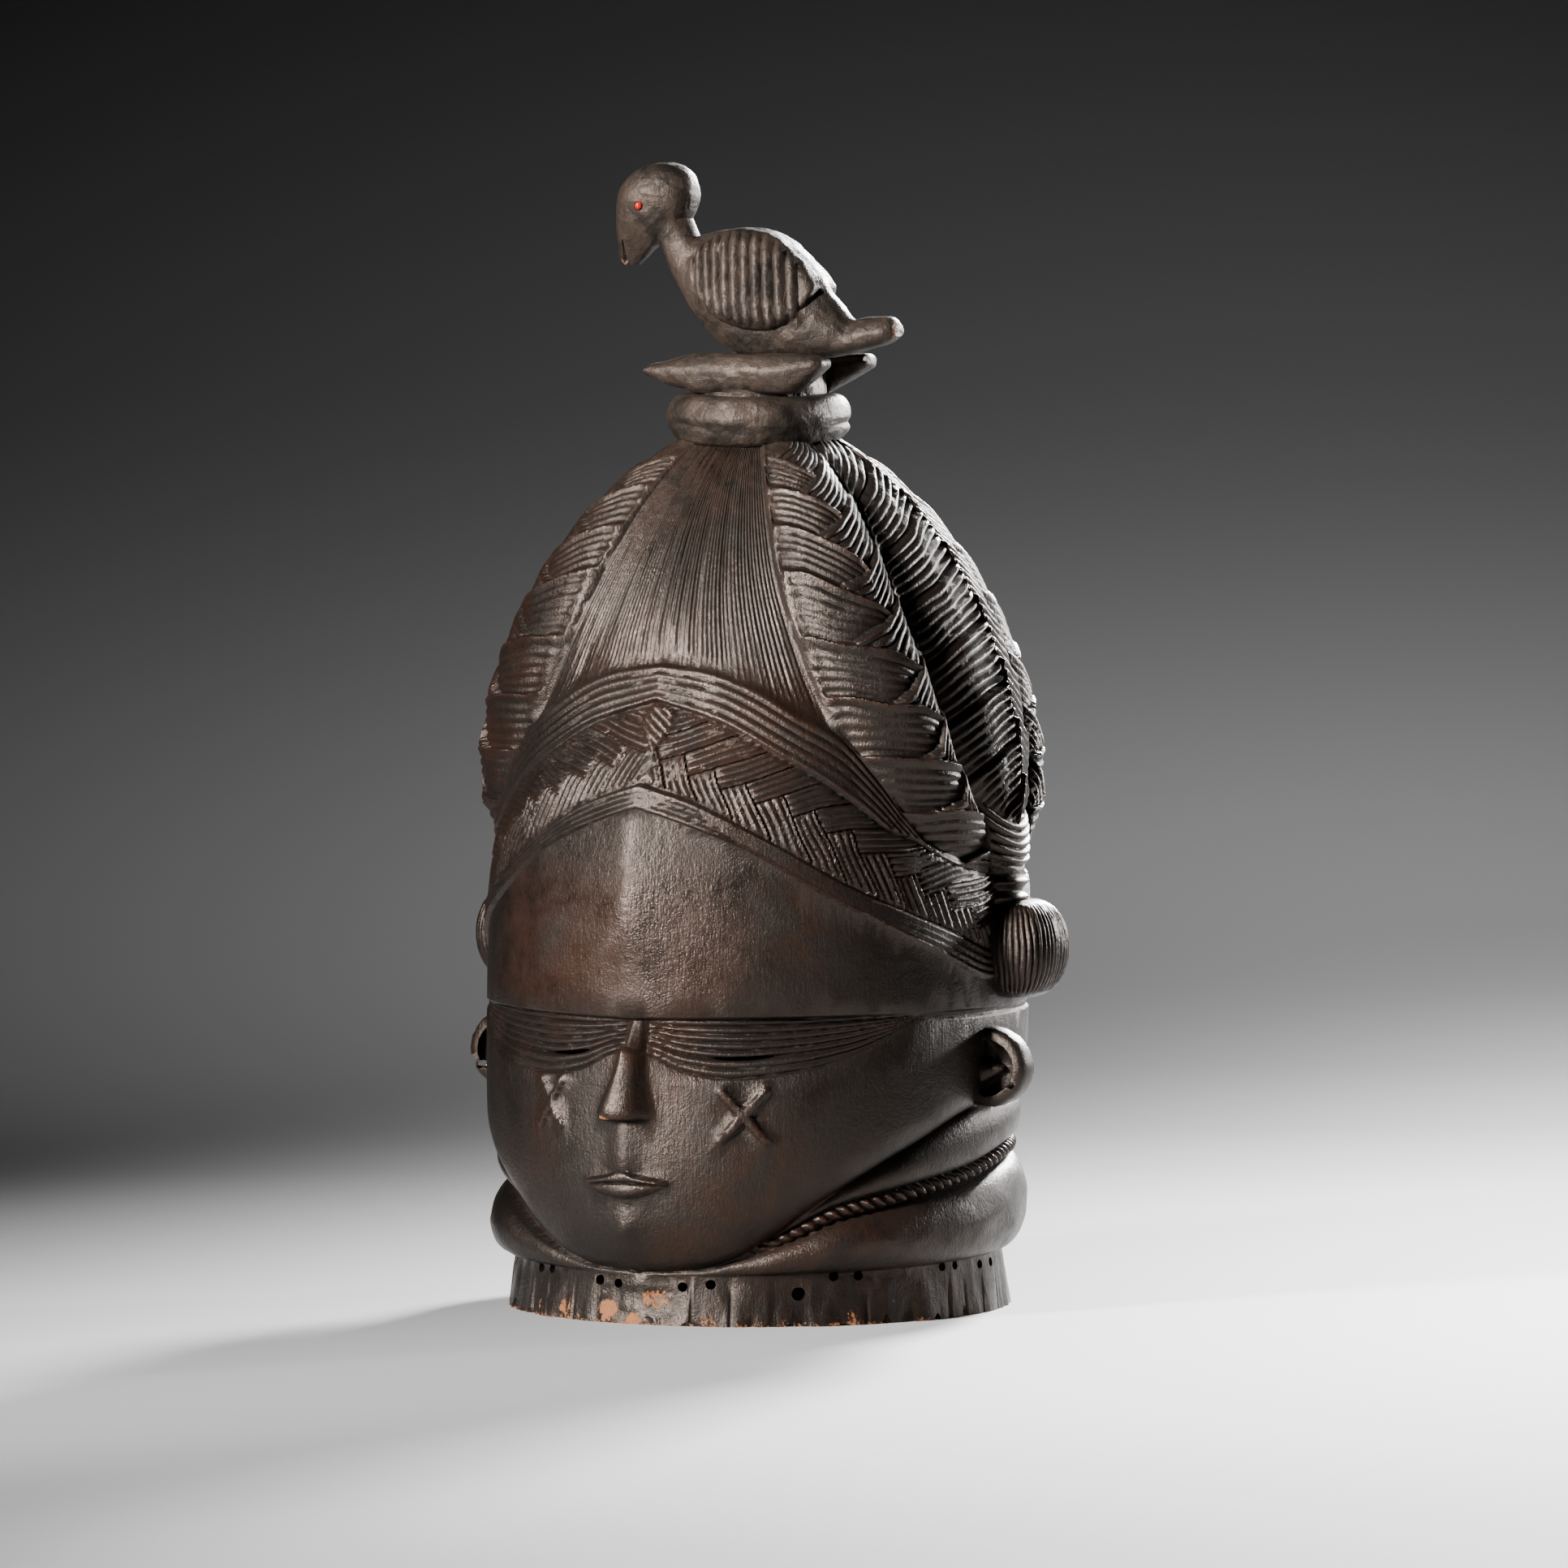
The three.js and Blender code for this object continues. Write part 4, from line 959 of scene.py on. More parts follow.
def wing_skin(side):
    """A proud plate with steep edges and upright flutes that lean back a little, plain at its rear end."""
    rings = []
    for x in np.linspace(WING_FRONT, WING_REAR, 190):
        top, foot = wing_top(x), wing_foot(x)
        tall = (top - foot) / 2
        middle = np.array([x, side * WING_ROOT, (top + foot) / 2])
        end = dome(np.clip(1 - min(x - WING_FRONT, WING_REAR - x) / 3, 0, 1))
        proud = (WING_PROUD * (1 - 0.0006 * (x - 2) ** 2)) * (0.75 + 0.25 * end)
        ring = oval(middle, (0, -side * WING_LEAN * tall, tall), (0, proud, 0), 92, 4.0)
        along = np.clip(ring[:, 0] + FLUTE_LEAN * (ring[:, 2] - FLUTE_MIDDLE_Z) - WING_FRONT, 0, None)
        along = along / (WING_FLUTES_END - WING_FRONT)
        lobe = ridges(WING_FLUTES * along**0.9, 0.8)
        rise = np.abs(ring[:, 2] - middle[2]) / max(tall, 0.1)
        cut = np.where(along < 1, 1.9 * (1 - lobe), 0.5 * eased(1.06, 1.0, along)) * eased(1.0, 0.9, rise)
        inwards = middle - ring
        ring += inwards * (cut / np.maximum(np.linalg.norm(inwards, axis=1), 1))[:, None]
        rings.append(uneven(ring, 0.15, (5, 5, 9), 28))
    return loft(rings)


def wing_moat(side):
    """What is cut from the body round the wing, so that its edge stands clear."""
    rings = []
    for x in np.linspace(WING_FRONT - MOAT, WING_REAR + MOAT, 60):
        inside = mix(WING_FRONT, WING_REAR, (x - WING_FRONT + MOAT) / (WING_REAR - WING_FRONT + 2 * MOAT))
        top, foot = wing_top(inside) + MOAT, wing_foot(inside) - MOAT
        middle = (x, side * MOAT_Y, (top + foot) / 2)
        upright = (0, -side * WING_LEAN * (top - foot) / 2, (top - foot) / 2)
        rings.append(oval(middle, upright, (0, MOAT_HALF_DEPTH, 0), 40, 6.0))
    return loft(rings)


EYE_X, EYE_Y, EYE_Z, EYE_RADIUS, EYE_GAP = -47.5, 11.1, 433.0, 1.7, 0.3


def ball(middle, radius, count=24):
    """A closed ball, with a tiny flat at each pole."""
    rings = []
    for lean in np.linspace(-88, 88, count // 2 + 1):
        wide, high = math.cos(math.radians(lean)) * radius, math.sin(math.radians(lean)) * radius
        rings.append(oval(np.asarray(middle) + (0, 0, high), (wide, 0, 0), (0, wide, 0), count))
    return loft(rings)


# What is cut away: the inside, the slits, the holes and the chips
CAVITY_FOOT_Z = -5.0
cavity_width = through(
    (CAVITY_FOOT_Z, 84), (20, 84.5), (60, 88), (110, 91), (160, 90), (190, 84), (212, 70), (225, 50),
    (CAVITY_TOP_Z, 22),
)
cavity_depth = through(
    (CAVITY_FOOT_Z, 92), (20, 92.5), (60, 95), (110, 95), (160, 92), (190, 85), (212, 70), (225, 50),
    (CAVITY_TOP_Z, 22),
)


def cavity_skin():
    """One smooth oval room, open below, with the gouge's marks on its wall."""
    turn = turns_round(260)
    heights = np.concatenate([np.linspace(CAVITY_FOOT_Z, 200, 110), np.linspace(202, CAVITY_TOP_Z, 30)])
    rings = []
    for z in heights:
        marks = 0.55 * hand_noise(turn * 12, z / 17, 0, 29) + 0.25 * hand_noise(turn * 27, z / 8, 0, 30)
        rings.append(level_ring(turn, cavity_width(z), cavity_depth(z), z, 1 + marks / 90))
    return loft(rings)


SLIT_FROM, SLIT_TO = 70.0, 120.0  # radii between which each slit is cut
SLIT_UP, SLIT_DOWN = 0.95, 0.85  # how far it opens over and under its line


def eye_slit(azimuth, half):
    """A long thin slit that follows the groove between the lid and the ridges over it."""
    there = np.linspace(-1, 1, 24)
    back = there[-2:0:-1]
    t = np.concatenate([there, back])
    along = azimuth + half * t / arc(1, TEMPLE_RADIUS)
    size = np.abs(along)
    middle = lid_line(size) + SLIT_SHARE * (brow_line(size) - lid_line(size))
    open_by = np.repeat([SLIT_UP, -SLIT_DOWN], [len(there), len(back)]) * (1 - t**4)
    return loft([around(along, radius, middle + open_by) for radius in (SLIT_FROM, SLIT_TO)])


# Azimuth, height and radius of each hole drilled along the rim
RIM_HOLES = (
    (-33.5, 18.2, 1.9), (-28.8, 18.4, 1.9), (-11.7, 16.2, 2.0), (-6.4, 15.4, 1.8), (9.6, 15, 1.9),
    (16.2, 16.2, 1.9), (36.2, 12.5, 2.7), (44.4, 19, 1.9), (50.4, 19, 1.9), (75.1, 20, 1.9),
    (79.8, 20, 1.9), (91, 19, 1.9), (97.5, 19, 1.9), (124, 18, 1.9), (131, 17, 1.9), (158, 18, 2.0),
    (165, 17, 1.9), (-164, 17, 1.9), (-157, 18, 1.9), (-130, 18, 1.9), (-124, 18, 1.9), (-94, 19, 1.9),
    (-88, 18, 1.9), (-60, 19, 1.9), (-54, 18, 1.9),
)


HOLE_START_RADIUS = 70.0


def rim_hole(azimuth, z, radius):
    """A hole that was burnt or drilled by hand, a little wider at its mouth."""
    matrix = on_skin(azimuth, HOLE_START_RADIUS, z)
    rings = []
    for depth, wide in ((0, 1.0), (26, 1.0), (28, 1.08), (45, 1.2)):
        ring = oval((0, 0, depth), (radius * wide, 0, 0), (0, radius * wide * 0.94, 0), 14)
        rings.append(ring @ matrix[:3, :3].T + matrix[:3, 3])
    return loft(rings)


def chip(middle, size, seed):
    """A rough lump of wood that has broken away."""
    points, faces = ball((0, 0, 0), 1.0, 16)
    lumps = 1 + 0.35 * hand_noise(points[:, 0] * 1.7, points[:, 1] * 1.7, points[:, 2] * 1.7, seed)
    return points * lumps[:, None] * size + np.asarray(middle, float), faces


# Azimuth, height, half width and half height of each chip along the rim's lower edge
RIM_CHIPS = (
    (-62, 0.5, 4, 6), (-48, 0, 6, 4), (-37, 0, 4, 3), (-24, 1, 4, 3.5), (-9, 0, 6, 4.5), (2, 1, 6, 4),
    (13, 0, 5, 3.5), (26, 0.5, 3, 7), (36, 0, 5, 2.5), (47, 0, 4, 3), (58, 0, 6, 3.5), (72, 0, 4, 2.5),
    (83, 0.5, 4, 4), (118, 0, 5, 3), (150, 0, 3, 2.5), (-95, 0, 4, 3), (-128, 0, 4, 4), (-160, 0, 3, 2.5),
)
CHIP_HALF_DEPTH = 2.4
CHIP_SEED = 40


def rim_chips():
    """Chips along the lower edge of the rim: more of them, and larger, at the front and the left."""
    chips = []
    for seed, (azimuth, z, wide, high) in enumerate(RIM_CHIPS, CHIP_SEED):
        middle = around(azimuth, RIM_RADIUS * rim_oval(azimuth) + 1.2, z)
        chips.append(chip(middle, (wide, CHIP_HALF_DEPTH, high), seed))
    return chips


# Finishes
def linear(code):
    """An sRGB hex colour as linear values with an alpha of one."""
    values = [int(code[i:i + 2], 16) / 255 for i in (1, 3, 5)]
    return [v / 12.92 if v <= 0.04045 else ((v + 0.055) / 1.055) ** 2.4 for v in values] + [1.0]


def node(tree, kind, settings=None, inputs=None):
    """Adds a node with its settings; each input takes a value or another node's socket."""
    made = tree.nodes.new(kind)
    for key, value in (settings or {}).items():
        setattr(made, key, value)
    for key, value in (inputs or {}).items():
        if isinstance(value, bpy.types.NodeSocket):
            tree.links.new(value, made.inputs[key])
        else:
            made.inputs[key].default_value = value
    return made


def new_material(name):
    """An empty node material and its Principled shader."""
    material = bpy.data.materials.new(name)
    material.use_nodes = True
    tree = material.node_tree
    tree.nodes.clear()
    shader = node(tree, "ShaderNodeBsdfPrincipled")
    node(tree, "ShaderNodeOutputMaterial", inputs={"Surface": shader.outputs["BSDF"]})
    return material, tree, shader


def per_metre(size_mm):
    """A noise scale whose features are about this many millimetres apart."""
    return 1000.0 / size_mm


FACET_WIDTH = 6.5  # millimetres from one cut of the adze to the next, on the bird and its seat
BUMP_DEPTH = 0.8  # millimetres between the lowest and the highest of the tool marks and the grain


def carved_wood(colours):
    """Dense, close-grained hardwood, dyed black and rubbed with palm oil: near black in the cuts, brown
    where the dye has worn thin, orange where the bare wood shows at chips, and a low greasy polish on what
    stands out."""
    material, tree, shader = new_material("dyed_and_oiled_hardwood")
    place = node(tree, "ShaderNodeTexCoord").outputs["Object"]
    inputs = {"Vector": place, "Scale": (1, 1, 0.07)}
    upright = node(tree, "ShaderNodeMapping", inputs=inputs).outputs["Vector"]
    # Each field of noise: its coordinates, millimetres between features, detail and roughness
    noises = {
        "grain": (upright, 1.1, 4, 0.55), "pores": (upright, 0.45, 2, 0.55),
        "tool_marks": (place, 5, 2, 0.5), "blotches": (place, 16, 6, 0.65), "clouds": (place, 70, 2, 0.5),
        "speckle": (place, 1.6, 3, 0.7), "dust": (place, 0.7, 2, 0.6), "scratches": (upright, 2.2, 2, 0.5),
    }
    fields = {}
    for name, (vector, size_mm, detail, roughness) in noises.items():
        inputs = {"Vector": vector, "Scale": per_metre(size_mm), "Detail": detail, "Roughness": roughness}
        fields[name] = node(tree, "ShaderNodeTexNoise", inputs=inputs).outputs["Fac"]
    for name in ("cut", "worn", "bare", "sooty", "hewn"):
        fields[name] = node(tree, "ShaderNodeAttribute", {"attribute_name": name}).outputs["Fac"]
    chosen = {"feature": "F1", "distance": "CHEBYCHEV"}
    inputs = {"Vector": place, "Scale": per_metre(FACET_WIDTH)}
    facets = node(tree, "ShaderNodeTexVoronoi", chosen, inputs).outputs["Distance"]
    inputs = {0: facets, 1: fields["hewn"]}
    fields["facets"] = node(tree, "ShaderNodeMath", {"operation": "MULTIPLY"}, inputs).outputs[0]
    inputs = {0: fields["speckle"], 1: 1.1, 2: fields["bare"]}
    fields["ragged"] = node(tree, "ShaderNodeMath", {"operation": "MULTIPLY_ADD"}, inputs).outputs[0]

    # Each layer: its field, the bounds that it shows between, its strength, what else weighs it, its colour
    layers = (
        ("clouds", 0.46, 0.68, 0.7, None, colours.brown), ("clouds", 0.3, 0.6, 0.7, "hewn", colours.dusty),
        ("blotches", 0.47, 0.6, 0.85, None, colours.soot), ("grain", 0.5, 0.75, 0.35, None, colours.soot),
        ("blotches", 0.3, 0.6, 0.6, "worn", colours.rubbed),
        ("scratches", 0.68, 0.74, 0.5, None, colours.soot), ("pores", 0.62, 0.72, 0.5, None, colours.soot),
        ("speckle", 0.4, 0.5, 1.0, "sooty", colours.soot), ("cut", 0.0, 1.0, 0.6, None, colours.soot),
        ("ragged", 1.03, 1.13, 1.0, None, colours.bare),
    )
    colour = list(colours.dyed)
    for name, low, high, strength, weight, over in layers:
        inputs = {0: fields[name], 1: low, 2: high, 3: 0.0, 4: strength}
        share = node(tree, "ShaderNodeMapRange", inputs=inputs).outputs[0]
        if weight:
            inputs = {0: share, 1: fields[weight]}
            share = node(tree, "ShaderNodeMath", {"operation": "MULTIPLY"}, inputs).outputs[0]
        inputs = {0: share, 6: colour, 7: list(over)}
        colour = node(tree, "ShaderNodeMix", {"data_type": "RGBA"}, inputs).outputs[2]
    fields["chipped"] = share

    sums = {
        "Roughness": (-0.1, (
            ("blotches", 0.6), ("cut", 0.25), ("chipped", 0.3), ("dust", 0.2), ("speckle", 0.25),
            ("hewn", 0.1), ("worn", -0.16), ("sooty", 0.15),
        )),
        "Height": (0.0, (
            ("tool_marks", 0.5), ("grain", 0.3), ("pores", 0.2), ("dust", 0.3), ("speckle", 0.6),
            ("facets", 2.2), ("chipped", -0.25),
        )),
    }
    for name, (total, parts) in sums.items():
        for part, factor in parts:
            inputs = {0: fields[part], 1: factor, 2: total}
            total = node(tree, "ShaderNodeMath", {"operation": "MULTIPLY_ADD"}, inputs).outputs[0]
        fields[name] = total
    inputs = {"Strength": 0.5, "Distance": BUMP_DEPTH * MM, "Height": fields["Height"]}
    bump = node(tree, "ShaderNodeBump", inputs=inputs).outputs["Normal"]
    for name, socket in (("Base Color", colour), ("Roughness", fields["Roughness"]), ("Normal", bump)):
        tree.links.new(socket, shader.inputs[name])
    shader.inputs["IOR"].default_value = 1.5
    shader.inputs["Specular IOR Level"].default_value = 0.26
    shader.inputs["Specular Tint"].default_value = list(colours.polish)
    return material


def seed_gloss(colours):
    """The hard shiny coat of a red seed: nearly even in colour, with a small clear highlight."""
    material, tree, shader = new_material("polished_red_seed")
    place = node(tree, "ShaderNodeTexCoord").outputs["Object"]
    inputs = {"Vector": place, "Scale": per_metre(1.2)}
    cloud = node(tree, "ShaderNodeTexNoise", inputs=inputs).outputs["Fac"]
    inputs = {0: cloud, 6: list(colours.seed), 7: [0.6 * value for value in colours.seed[:3]] + [1]}
    mixed = node(tree, "ShaderNodeMix", {"data_type": "RGBA"}, inputs)
    tree.links.new(mixed.outputs[2], shader.inputs["Base Color"])
    shader.inputs["Roughness"].default_value = 0.22
    shader.inputs["IOR"].default_value = 1.52
    return material


# Wear that is kept with the mesh
def points_of(mesh):
    """The mesh's points in millimetres from the rim's middle."""
    flat = np.empty(len(mesh.vertices) * 3)
    mesh.vertices.foreach_get("co", flat)
    return flat.reshape(-1, 3) / MM - (0, RIM_MIDDLE_Y, 0)


def bending(mesh, points):
    """How sharply the surface bends outwards at each point, in turns of one over a millimetre."""
    normals = np.empty(len(points) * 3)
    mesh.vertex_normals.foreach_get("vector", normals)
    normals = normals.reshape(-1, 3)
    edges = np.empty(len(mesh.edges) * 2, dtype=np.int32)
    mesh.edges.foreach_get("vertices", edges)
    a, b = edges.reshape(-1, 2).T
    span = points[b] - points[a]
    length = np.maximum((span**2).sum(1), 0.04)
    bend = np.zeros(len(points))
    count = np.zeros(len(points))
    for here, way in ((a, -1), (b, 1)):
        fall = way * (span * normals[here]).sum(1) * 2 / length
        bend += np.bincount(here, fall, len(points))
        count += np.bincount(here, minlength=len(points))
    bend /= count
    spread = np.bincount(a, bend[b], len(points)) + np.bincount(b, bend[a], len(points))
    return 0.5 * bend + 0.5 * spread / count


# Spots where the bare wood shows: azimuth, height, reach across, reach up, strength
BARE_SPOTS = (
    (-22, 5, 5, 6, 0.62), (-9, 5, 6, 5, 0.72), (-2, 2, 4, 3, 0.8), (3, 10, 9, 5, 0.55),
    (-31, 4, 4, 3, 0.6), (16, 5, 5, 4, 0.45), (48, 4, 4, 3, 0.5), (60, 8, 3, 5, 0.45),
    (-3.5, 81, 3, 1.6, 0.75), (55, 146, 1.6, 1.6, 0.75), (30, 88, 12, 6, 0.22), (56, 93, 9, 6, 0.3),
)
BIRD_SPOTS = (
    (-60, 0, 411, 3, 0.8), (61, -2, 384, 3, 0.75), (24, -12, 412, 3, 0.55), (38, -4, 397, 2.5, 0.5),
)
# Spots that stay black: azimuth, height, reach across, reach up, strength
SOOTY_SPOTS = ((-21, 150, 9, 7, 0.9), (-17, 158, 5, 4, 0.7), (-24, 140, 5, 5, 0.6), (68, 110, 7, 9, 0.6))


def spots_at(azimuth, z, places):
    """The strongest of some soft spots at each point."""
    strongest = np.zeros_like(z)
    for middle, height, across, up, strength in places:
        away = np.hypot((azimuth - middle) * ARC / across, (z - height) / up)
        strongest = np.maximum(strongest, strength * eased(1.6, 0.4, away))
    return strongest


def keep_wear(mesh):
    """Stores what the finish reads: cuts, rubbed crests, bare wood, soot, and greyer hewn wood above."""
    points = points_of(mesh)
    bend = bending(mesh, points)
    x, y, z = points.T
    azimuth = np.degrees(np.arctan2(x, -y))
    outside = np.hypot(x, y) > 0.97 * np.interp(z, (0, 200, 240, 340), (96, 92, 70, 20))
    bare = spots_at(azimuth, z, BARE_SPOTS)
    bare = np.maximum(bare, 0.5 * eased(3.5, 0.5, z) * outside)
    bare = np.maximum(bare, 0.42 * eased(0.35, 1.0, bend) * outside)
    for px, py, pz, reach, strength in BIRD_SPOTS:
        away = np.sqrt((x - px) ** 2 + (y - py) ** 2 + (z - pz) ** 2) / reach
        bare = np.maximum(bare, strength * eased(1.6, 0.4, away))
    forehead_worn = 0.5 * eased(40, 25, np.abs(azimuth + 8)) * eased(120, 132, z) * eased(190, 160, z)
    hewn = eased(HAIR_TOP_Z - 5, HAIR_TOP_Z, z)
    worn = np.maximum(eased(0.03, 0.4, bend) * mix(0.8, 0.25, hewn), forehead_worn)
    kept = {
        "cut": eased(-0.05, -0.55, bend),
        "worn": worn,
        "bare": bare,
        "sooty": spots_at(azimuth, z, SOOTY_SPOTS),
        "hewn": np.maximum(hewn, 0.5 * eased(280, HAIR_TOP_Z - 5, z)),
    }
    for name, values in kept.items():
        mesh.attributes.new(name, "FLOAT", "POINT").data.foreach_set("value", values.astype(np.float32))


# What a user would change
def colour_setting(name, description, code):
    """A colour that a user may change, with its default as an sRGB hex value."""
    return bpy.props.FloatVectorProperty(
        name=name, description=description, subtype="COLOR", size=4, default=linear(code),
    )


def power_setting(name, description, watts):
    """The power of a lamp that a user may change."""
    return bpy.props.FloatProperty(name=name, description=description, default=watts, unit="POWER")


class MaskSizes(bpy.types.PropertyGroup):
    carving_step: bpy.props.FloatProperty(
        name="Carving step", description="Spacing of the points that carry the carving",
        default=FINEST_STEP * MM, min=0.2 * MM, unit="LENGTH",
    )
    triangles: bpy.props.IntProperty(
        name="Triangles", description="How many the finished mask keeps", default=196000, min=20000,
    )
    seed_radius: bpy.props.FloatProperty(
        name="Seed radius", description="Radius of each seed eye", default=EYE_RADIUS * MM, unit="LENGTH",
    )


class MaskColours(bpy.types.PropertyGroup):
    soot: colour_setting("Soot", "In the cuts and black patches", "#080706")
    dyed: colour_setting("Dyed wood", "Most of the surface", "#0d0a08")
    brown: colour_setting("Brown", "Where the dye is thin", "#20130d")
    rubbed: colour_setting("Rubbed", "Crests and handled places", "#331f18")
    dusty: colour_setting("Dusty", "The greyer wood of the bird and its seat", "#2f2721")
    polish: colour_setting("Polish", "Tint of the oily sheen", "#ffe8d8")
    bare: colour_setting("Bare wood", "Chips", "#70472c")
    seed: colour_setting("Seed red", "The bird's eyes", "#a0201a")


class StudioSettings(bpy.types.PropertyGroup):
    paper: colour_setting("Paper", "The floor and the backdrop", "#a0a0a0")
    # Painted shade: the darker grey the paper turns as it rises, standing in for the light falling off up
    # the wall
    backdrop: colour_setting("Backdrop", "The paper where it has risen", "#6c6c6c")
    key_power: power_setting("Key power", "Power of the large light at the front left", 15.0)
    back_power: power_setting("Back power", "Power of the light behind on the right", 27.0)
    edge_power: power_setting("Edge power", "Power of the low light that draws the right edge", 1.6)
    wall_power: power_setting("Wall power", "Power of the light on the backdrop", 3.6)
    fill_power: power_setting("Fill power", "Power of the weak light at the front right", 0.15)
    lens: bpy.props.FloatProperty(
        name="Lens", description="Focal length on a 36 mm sensor, in millimetres", default=233.0, min=20.0,
    )


def bird_solid():
    """The bird with a moat cut round each wing's place, and the wings set into it."""
    bird = united(bird_body(), bird_neck(), bird_head())
    cut(bird, wing_moat(-1), wing_moat(1), beak_split())
    combine(bird, united(wing_skin(-1), wing_skin(1)), "UNION")
    return bird


def ear_solid(side):
    """One ear with the roll of hair over it."""
    ear = united(ear_skin(side))
    cut(ear, ear_hollow(side))
    combine(ear, united(ear_flap(side)), "UNION")
    cut(ear, ear_hole(side))
    if side < 0:
        cut(ear, *ear_chips())
    combine(ear, united(side_roll(side)), "UNION")
    return ear


def thinned(thing, triangles):
    """Takes triangles away where the surface is plain, until only so many are left."""
    thin = thing.modifiers.new("thin", "DECIMATE")
    count = len(thing.data.loop_triangles) or len(thing.data.polygons)
    thin.ratio = min(1.0, triangles / count)
    applied(thing)


def carved_block(sizes):
    """The block with its crown, ears and rolls joined on, and its inside, holes and chips cut out."""
    step = sizes.carving_step / MM * 1
    whole = mesh_object("carved_mask", [block_skin(step)])
    bars = (bar_skin(FRONT_BAR, -BAR_Y, 25), bar_skin(BACK_BAR, BAR_Y, 32))
    crown = united(collar_skin(), core_skin(), *bars)
    for solid in (crown, bird_solid(), ear_solid(-1), ear_solid(1)):
        combine(whole, solid, "UNION")
    cut(whole, cavity_skin())
    holes = [rim_hole(*hole) for hole in RIM_HOLES]
    slits = [eye_slit(*eye) for eye in EYES]
    sockets = [ball((EYE_X, side * EYE_Y, EYE_Z), EYE_RADIUS + EYE_GAP) for side in (-1, 1)]
    cut(whole, *holes, *slits, *sockets)
    cut(whole, *rim_chips())
    thinned(whole, sizes.triangles)
    return whole


SHARP_EDGE = 50.0  # degrees between faces from which an edge looks sharp


class MASK_OT_build_carved_mask(bpy.types.Operator):
    """Carve the mask, its coiffure and its bird from one block"""

    bl_idname = "mask.build_carved_mask"
    bl_label = "Carved mask"

    def execute(self, context):
        whole = carved_block(context.scene.mask_sizes)
        keep_wear(whole.data)
        whole.data.materials.clear()
        whole.data.materials.append(carved_wood(context.scene.mask_colours))
        whole.data.shade_smooth()
        whole.data.set_sharp_from_angle(angle=math.radians(SHARP_EDGE))
        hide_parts("mask")
        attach(whole, "root")
        return {"FINISHED"}


class MASK_OT_build_seed_eyes(bpy.types.Operator):
    """Set a red seed into each side of the bird's head"""

    bl_idname = "mask.build_seed_eyes"
    bl_label = "Seed eyes"

    def execute(self, context):
        finish = seed_gloss(context.scene.mask_colours)
        radius = context.scene.mask_sizes.seed_radius / MM
        for name, side in (("bird_eye_near", -1), ("bird_eye_far", 1)):
            seed = mesh_object("seed_" + name, [ball((EYE_X, side * EYE_Y, EYE_Z), radius, 32)])
            seed.data.shade_smooth()
            seed.data.materials.append(finish)
            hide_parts(name)
            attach(seed, "root")
        return {"FINISHED"}


CAMERA_PLACE = Vector((1.82478, -3.55518, 0.400))
CAMERA_AIM = Vector((0.00882, 0.00884, 0.205))


def stood(name, data, place, aim):
    """Stands a lamp or the camera at a place and turns it to what it aims at."""
    made = bpy.data.objects.new(name, data)
    made.location = place
    made.rotation_euler = (aim - place).to_track_quat("-Z", "Y").to_euler()
    bpy.context.scene.collection.objects.link(made)
    return made


def light(name, place, aim, size, watts, spread):
    """A soft lamp of one size, whose beam opens by a number of degrees."""
    data = bpy.data.lights.new(name, "AREA")
    data.shape = "RECTANGLE"
    data.size, data.size_y = size
    data.energy = watts
    data.spread = math.radians(spread)
    stood(name, data, place, aim)


def from_camera(right, behind, up):
    """A place given as metres to the camera's right, behind the mask and above the floor."""
    across = CAMERA_AIM - CAMERA_PLACE
    return Matrix.Rotation(-math.atan2(across.x, across.y), 4, "Z") @ Vector((right, behind, up))


SWEEP_FRONT, SWEEP_HALF_WIDTH = -7.0, 6.0
BEND_START, BEND_RADIUS = 0.6, 2.4  # metres behind the mask, and the radius of the bend
PAINTED_SHADE_TOP = 0.36  # painted shade: from this height up the paper is painted as dark as the backdrop colour, for the light that falls off up the wall


def paper_sweep(studio):
    """Floor and backdrop as one seamless sheet with a wide bend behind the mask. Its colour carries painted
    shade: it darkens towards the backdrop colour as the paper rises, in place of the light falling off up
    the wall.
    """
    material, tree, shader = new_material("pale_studio_paper")
    place = node(tree, "ShaderNodeTexCoord").outputs["Object"]
    # Painted shade: the paper's colour is mixed towards the darker backdrop colour by height, standing in
    # for the light falling off as the paper rises
    height = node(tree, "ShaderNodeSeparateXYZ", inputs={"Vector": place}).outputs["Z"]
    inputs = {0: height, 1: 0.0, 2: PAINTED_SHADE_TOP, 3: 0.0, 4: 1.0}
    risen = node(tree, "ShaderNodeMapRange", {"interpolation_type": "SMOOTHSTEP"}, inputs).outputs[0]
    inputs = {0: risen, 6: list(studio.paper), 7: list(studio.backdrop)}
    painted_shade_paper = node(tree, "ShaderNodeMix", {"data_type": "RGBA"}, inputs).outputs[2]
    tree.links.new(painted_shade_paper, shader.inputs["Base Color"])
    shader.inputs["Roughness"].default_value = 0.75
    # The paper has only its upper side, so it hides nothing from a camera that stands behind or below it
    under = node(tree, "ShaderNodeNewGeometry").outputs["Backfacing"]
    clear = node(tree, "ShaderNodeBsdfTransparent").outputs["BSDF"]
    one_sided = node(tree, "ShaderNodeMixShader", inputs={0: under, 1: shader.outputs["BSDF"], 2: clear})
    tree.links.new(one_sided.outputs["Shader"], tree.get_output_node("ALL").inputs["Surface"])
    profile = [(SWEEP_FRONT, 0)]
    for t in np.linspace(0, math.pi / 2, 24):
        profile.append((BEND_START + BEND_RADIUS * math.sin(t), BEND_RADIUS - BEND_RADIUS * math.cos(t)))
    points = [from_camera(side * SWEEP_HALF_WIDTH, away, z) for away, z in profile for side in (-1, 1)]
    faces = [(2 * i, 2 * i + 1, 2 * i + 3, 2 * i + 2) for i in range(len(profile) - 1)]
    mesh = bpy.data.meshes.new("paper_sweep")
    mesh.from_pydata(points, [], faces)
    mesh.shade_smooth()
    mesh.materials.append(material)
    made = bpy.data.objects.new("paper_sweep", mesh)
    bpy.context.scene.collection.objects.link(made)


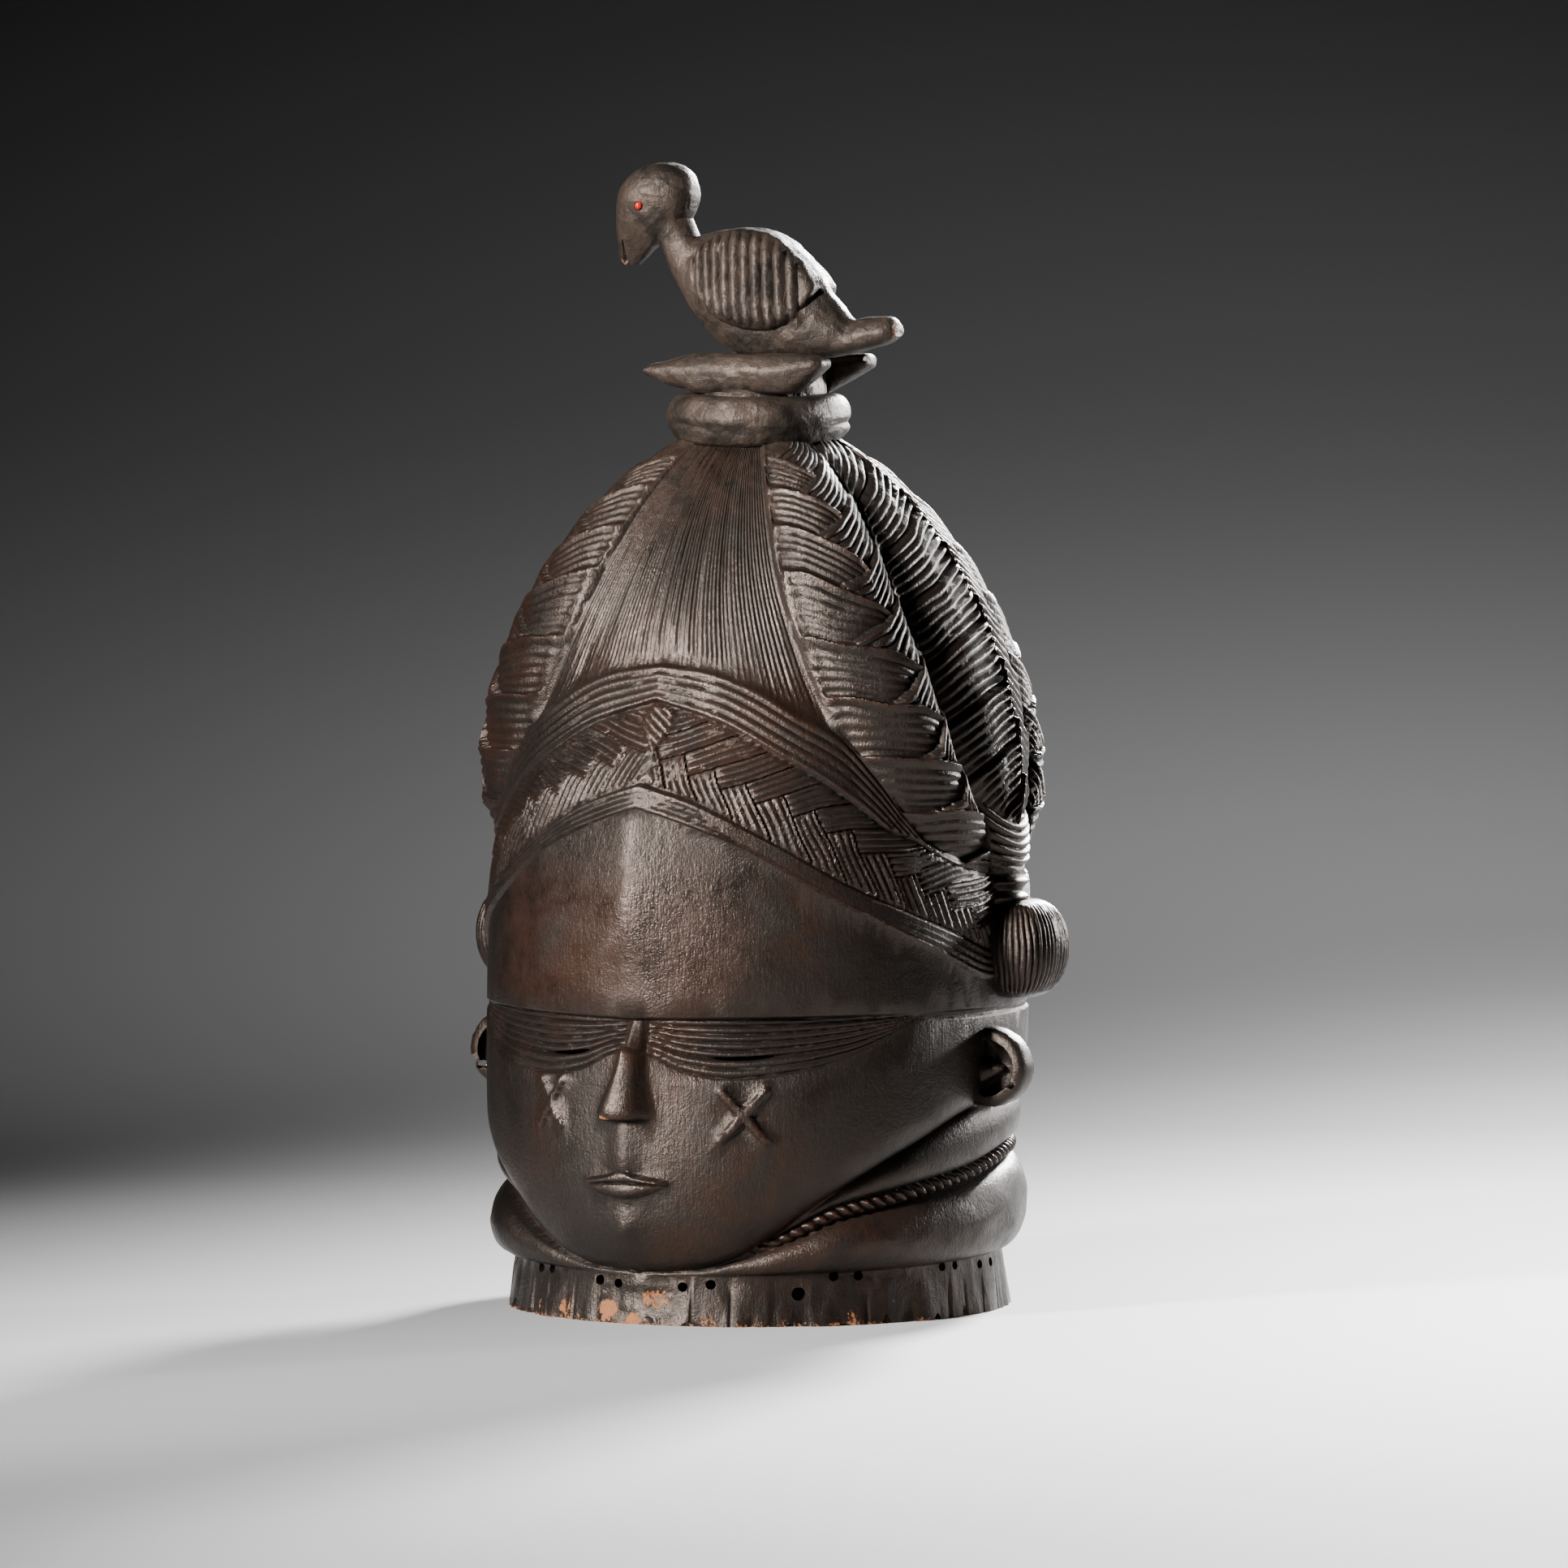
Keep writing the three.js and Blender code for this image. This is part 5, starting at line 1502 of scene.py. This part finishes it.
class MASK_OT_build_stage(bpy.types.Operator):
    """Floor, backdrop, lights and the camera at the photograph's angle"""

    bl_idname = "mask.build_stage"
    bl_label = "Studio"

    def execute(self, context):
        studio = context.scene.studio_settings
        paper_sweep(studio)
        # Each lamp: where it stands, what it aims at, its size, power and beam
        lamps = {
            "key": ((-1.35, -1.2, 0.85), (0.08, -0.2, 0.31), (0.2, 0.8), studio.key_power, 34),
            "back_light": ((0.8, 1.7, 1.0), (0.18, -0.34, 0.0), (0.45, 0.45), studio.back_power, 44),
            "edge_light": ((1.35, 0.75, 0.55), (0, 0, 0.31), (0.12, 0.3), studio.edge_power, 20),
            "wall_light": ((0.75, 0.3, 1.6), (0.3, 1.3, 0.1), (0.3, 0.3), studio.wall_power, 66),
            "fill": ((0.3, -3.0, 1.3), (0, 0, 0.2), (1.2, 1.2), studio.fill_power, 120),
        }
        for name, (place, aim, size, power, spread) in lamps.items():
            light(name, from_camera(*place), from_camera(*aim), size, power, spread)
        world = bpy.data.worlds.new("studio_air")
        world.use_nodes = True
        background = world.node_tree.nodes["Background"].inputs
        background["Color"].default_value = linear("#5a5a5a")
        background["Strength"].default_value = 0.02
        context.scene.world = world
        lens = bpy.data.cameras.new("camera")
        lens.lens = studio.lens
        lens.sensor_width = 36.0
        lens.clip_end = 50.0
        context.scene.camera = stood("camera", lens, CAMERA_PLACE, CAMERA_AIM)
        return {"FINISHED"}


class MASK_PT_panel(bpy.types.Panel):
    bl_label = "Sande helmet mask"
    bl_space_type = "VIEW_3D"
    bl_region_type = "UI"
    bl_category = "Mask"

    def draw(self, context):
        layout = self.layout
        for operator in OPERATORS:
            layout.operator(operator.bl_idname)
        for group in (context.scene.mask_sizes, context.scene.mask_colours, context.scene.studio_settings):
            box = layout.box()
            for name in group.__annotations__:
                box.prop(group, name)


GROUPS = {"mask_sizes": MaskSizes, "mask_colours": MaskColours, "studio_settings": StudioSettings}
OPERATORS = (MASK_OT_build_stage, MASK_OT_build_carved_mask, MASK_OT_build_seed_eyes)


def register():
    for group in (*GROUPS.values(), *OPERATORS, MASK_PT_panel):
        bpy.utils.register_class(group)
    for name, group in GROUPS.items():
        setattr(bpy.types.Scene, name, bpy.props.PointerProperty(type=group))


def unregister():
    for name in GROUPS:
        delattr(bpy.types.Scene, name)
    for group in reversed((*GROUPS.values(), *OPERATORS, MASK_PT_panel)):
        bpy.utils.unregister_class(group)


def main():
    register()
    bpy.ops.mask.build_stage()
    bpy.ops.mask.build_carved_mask()
    bpy.ops.mask.build_seed_eyes()


if __name__ == "__main__":
    main()
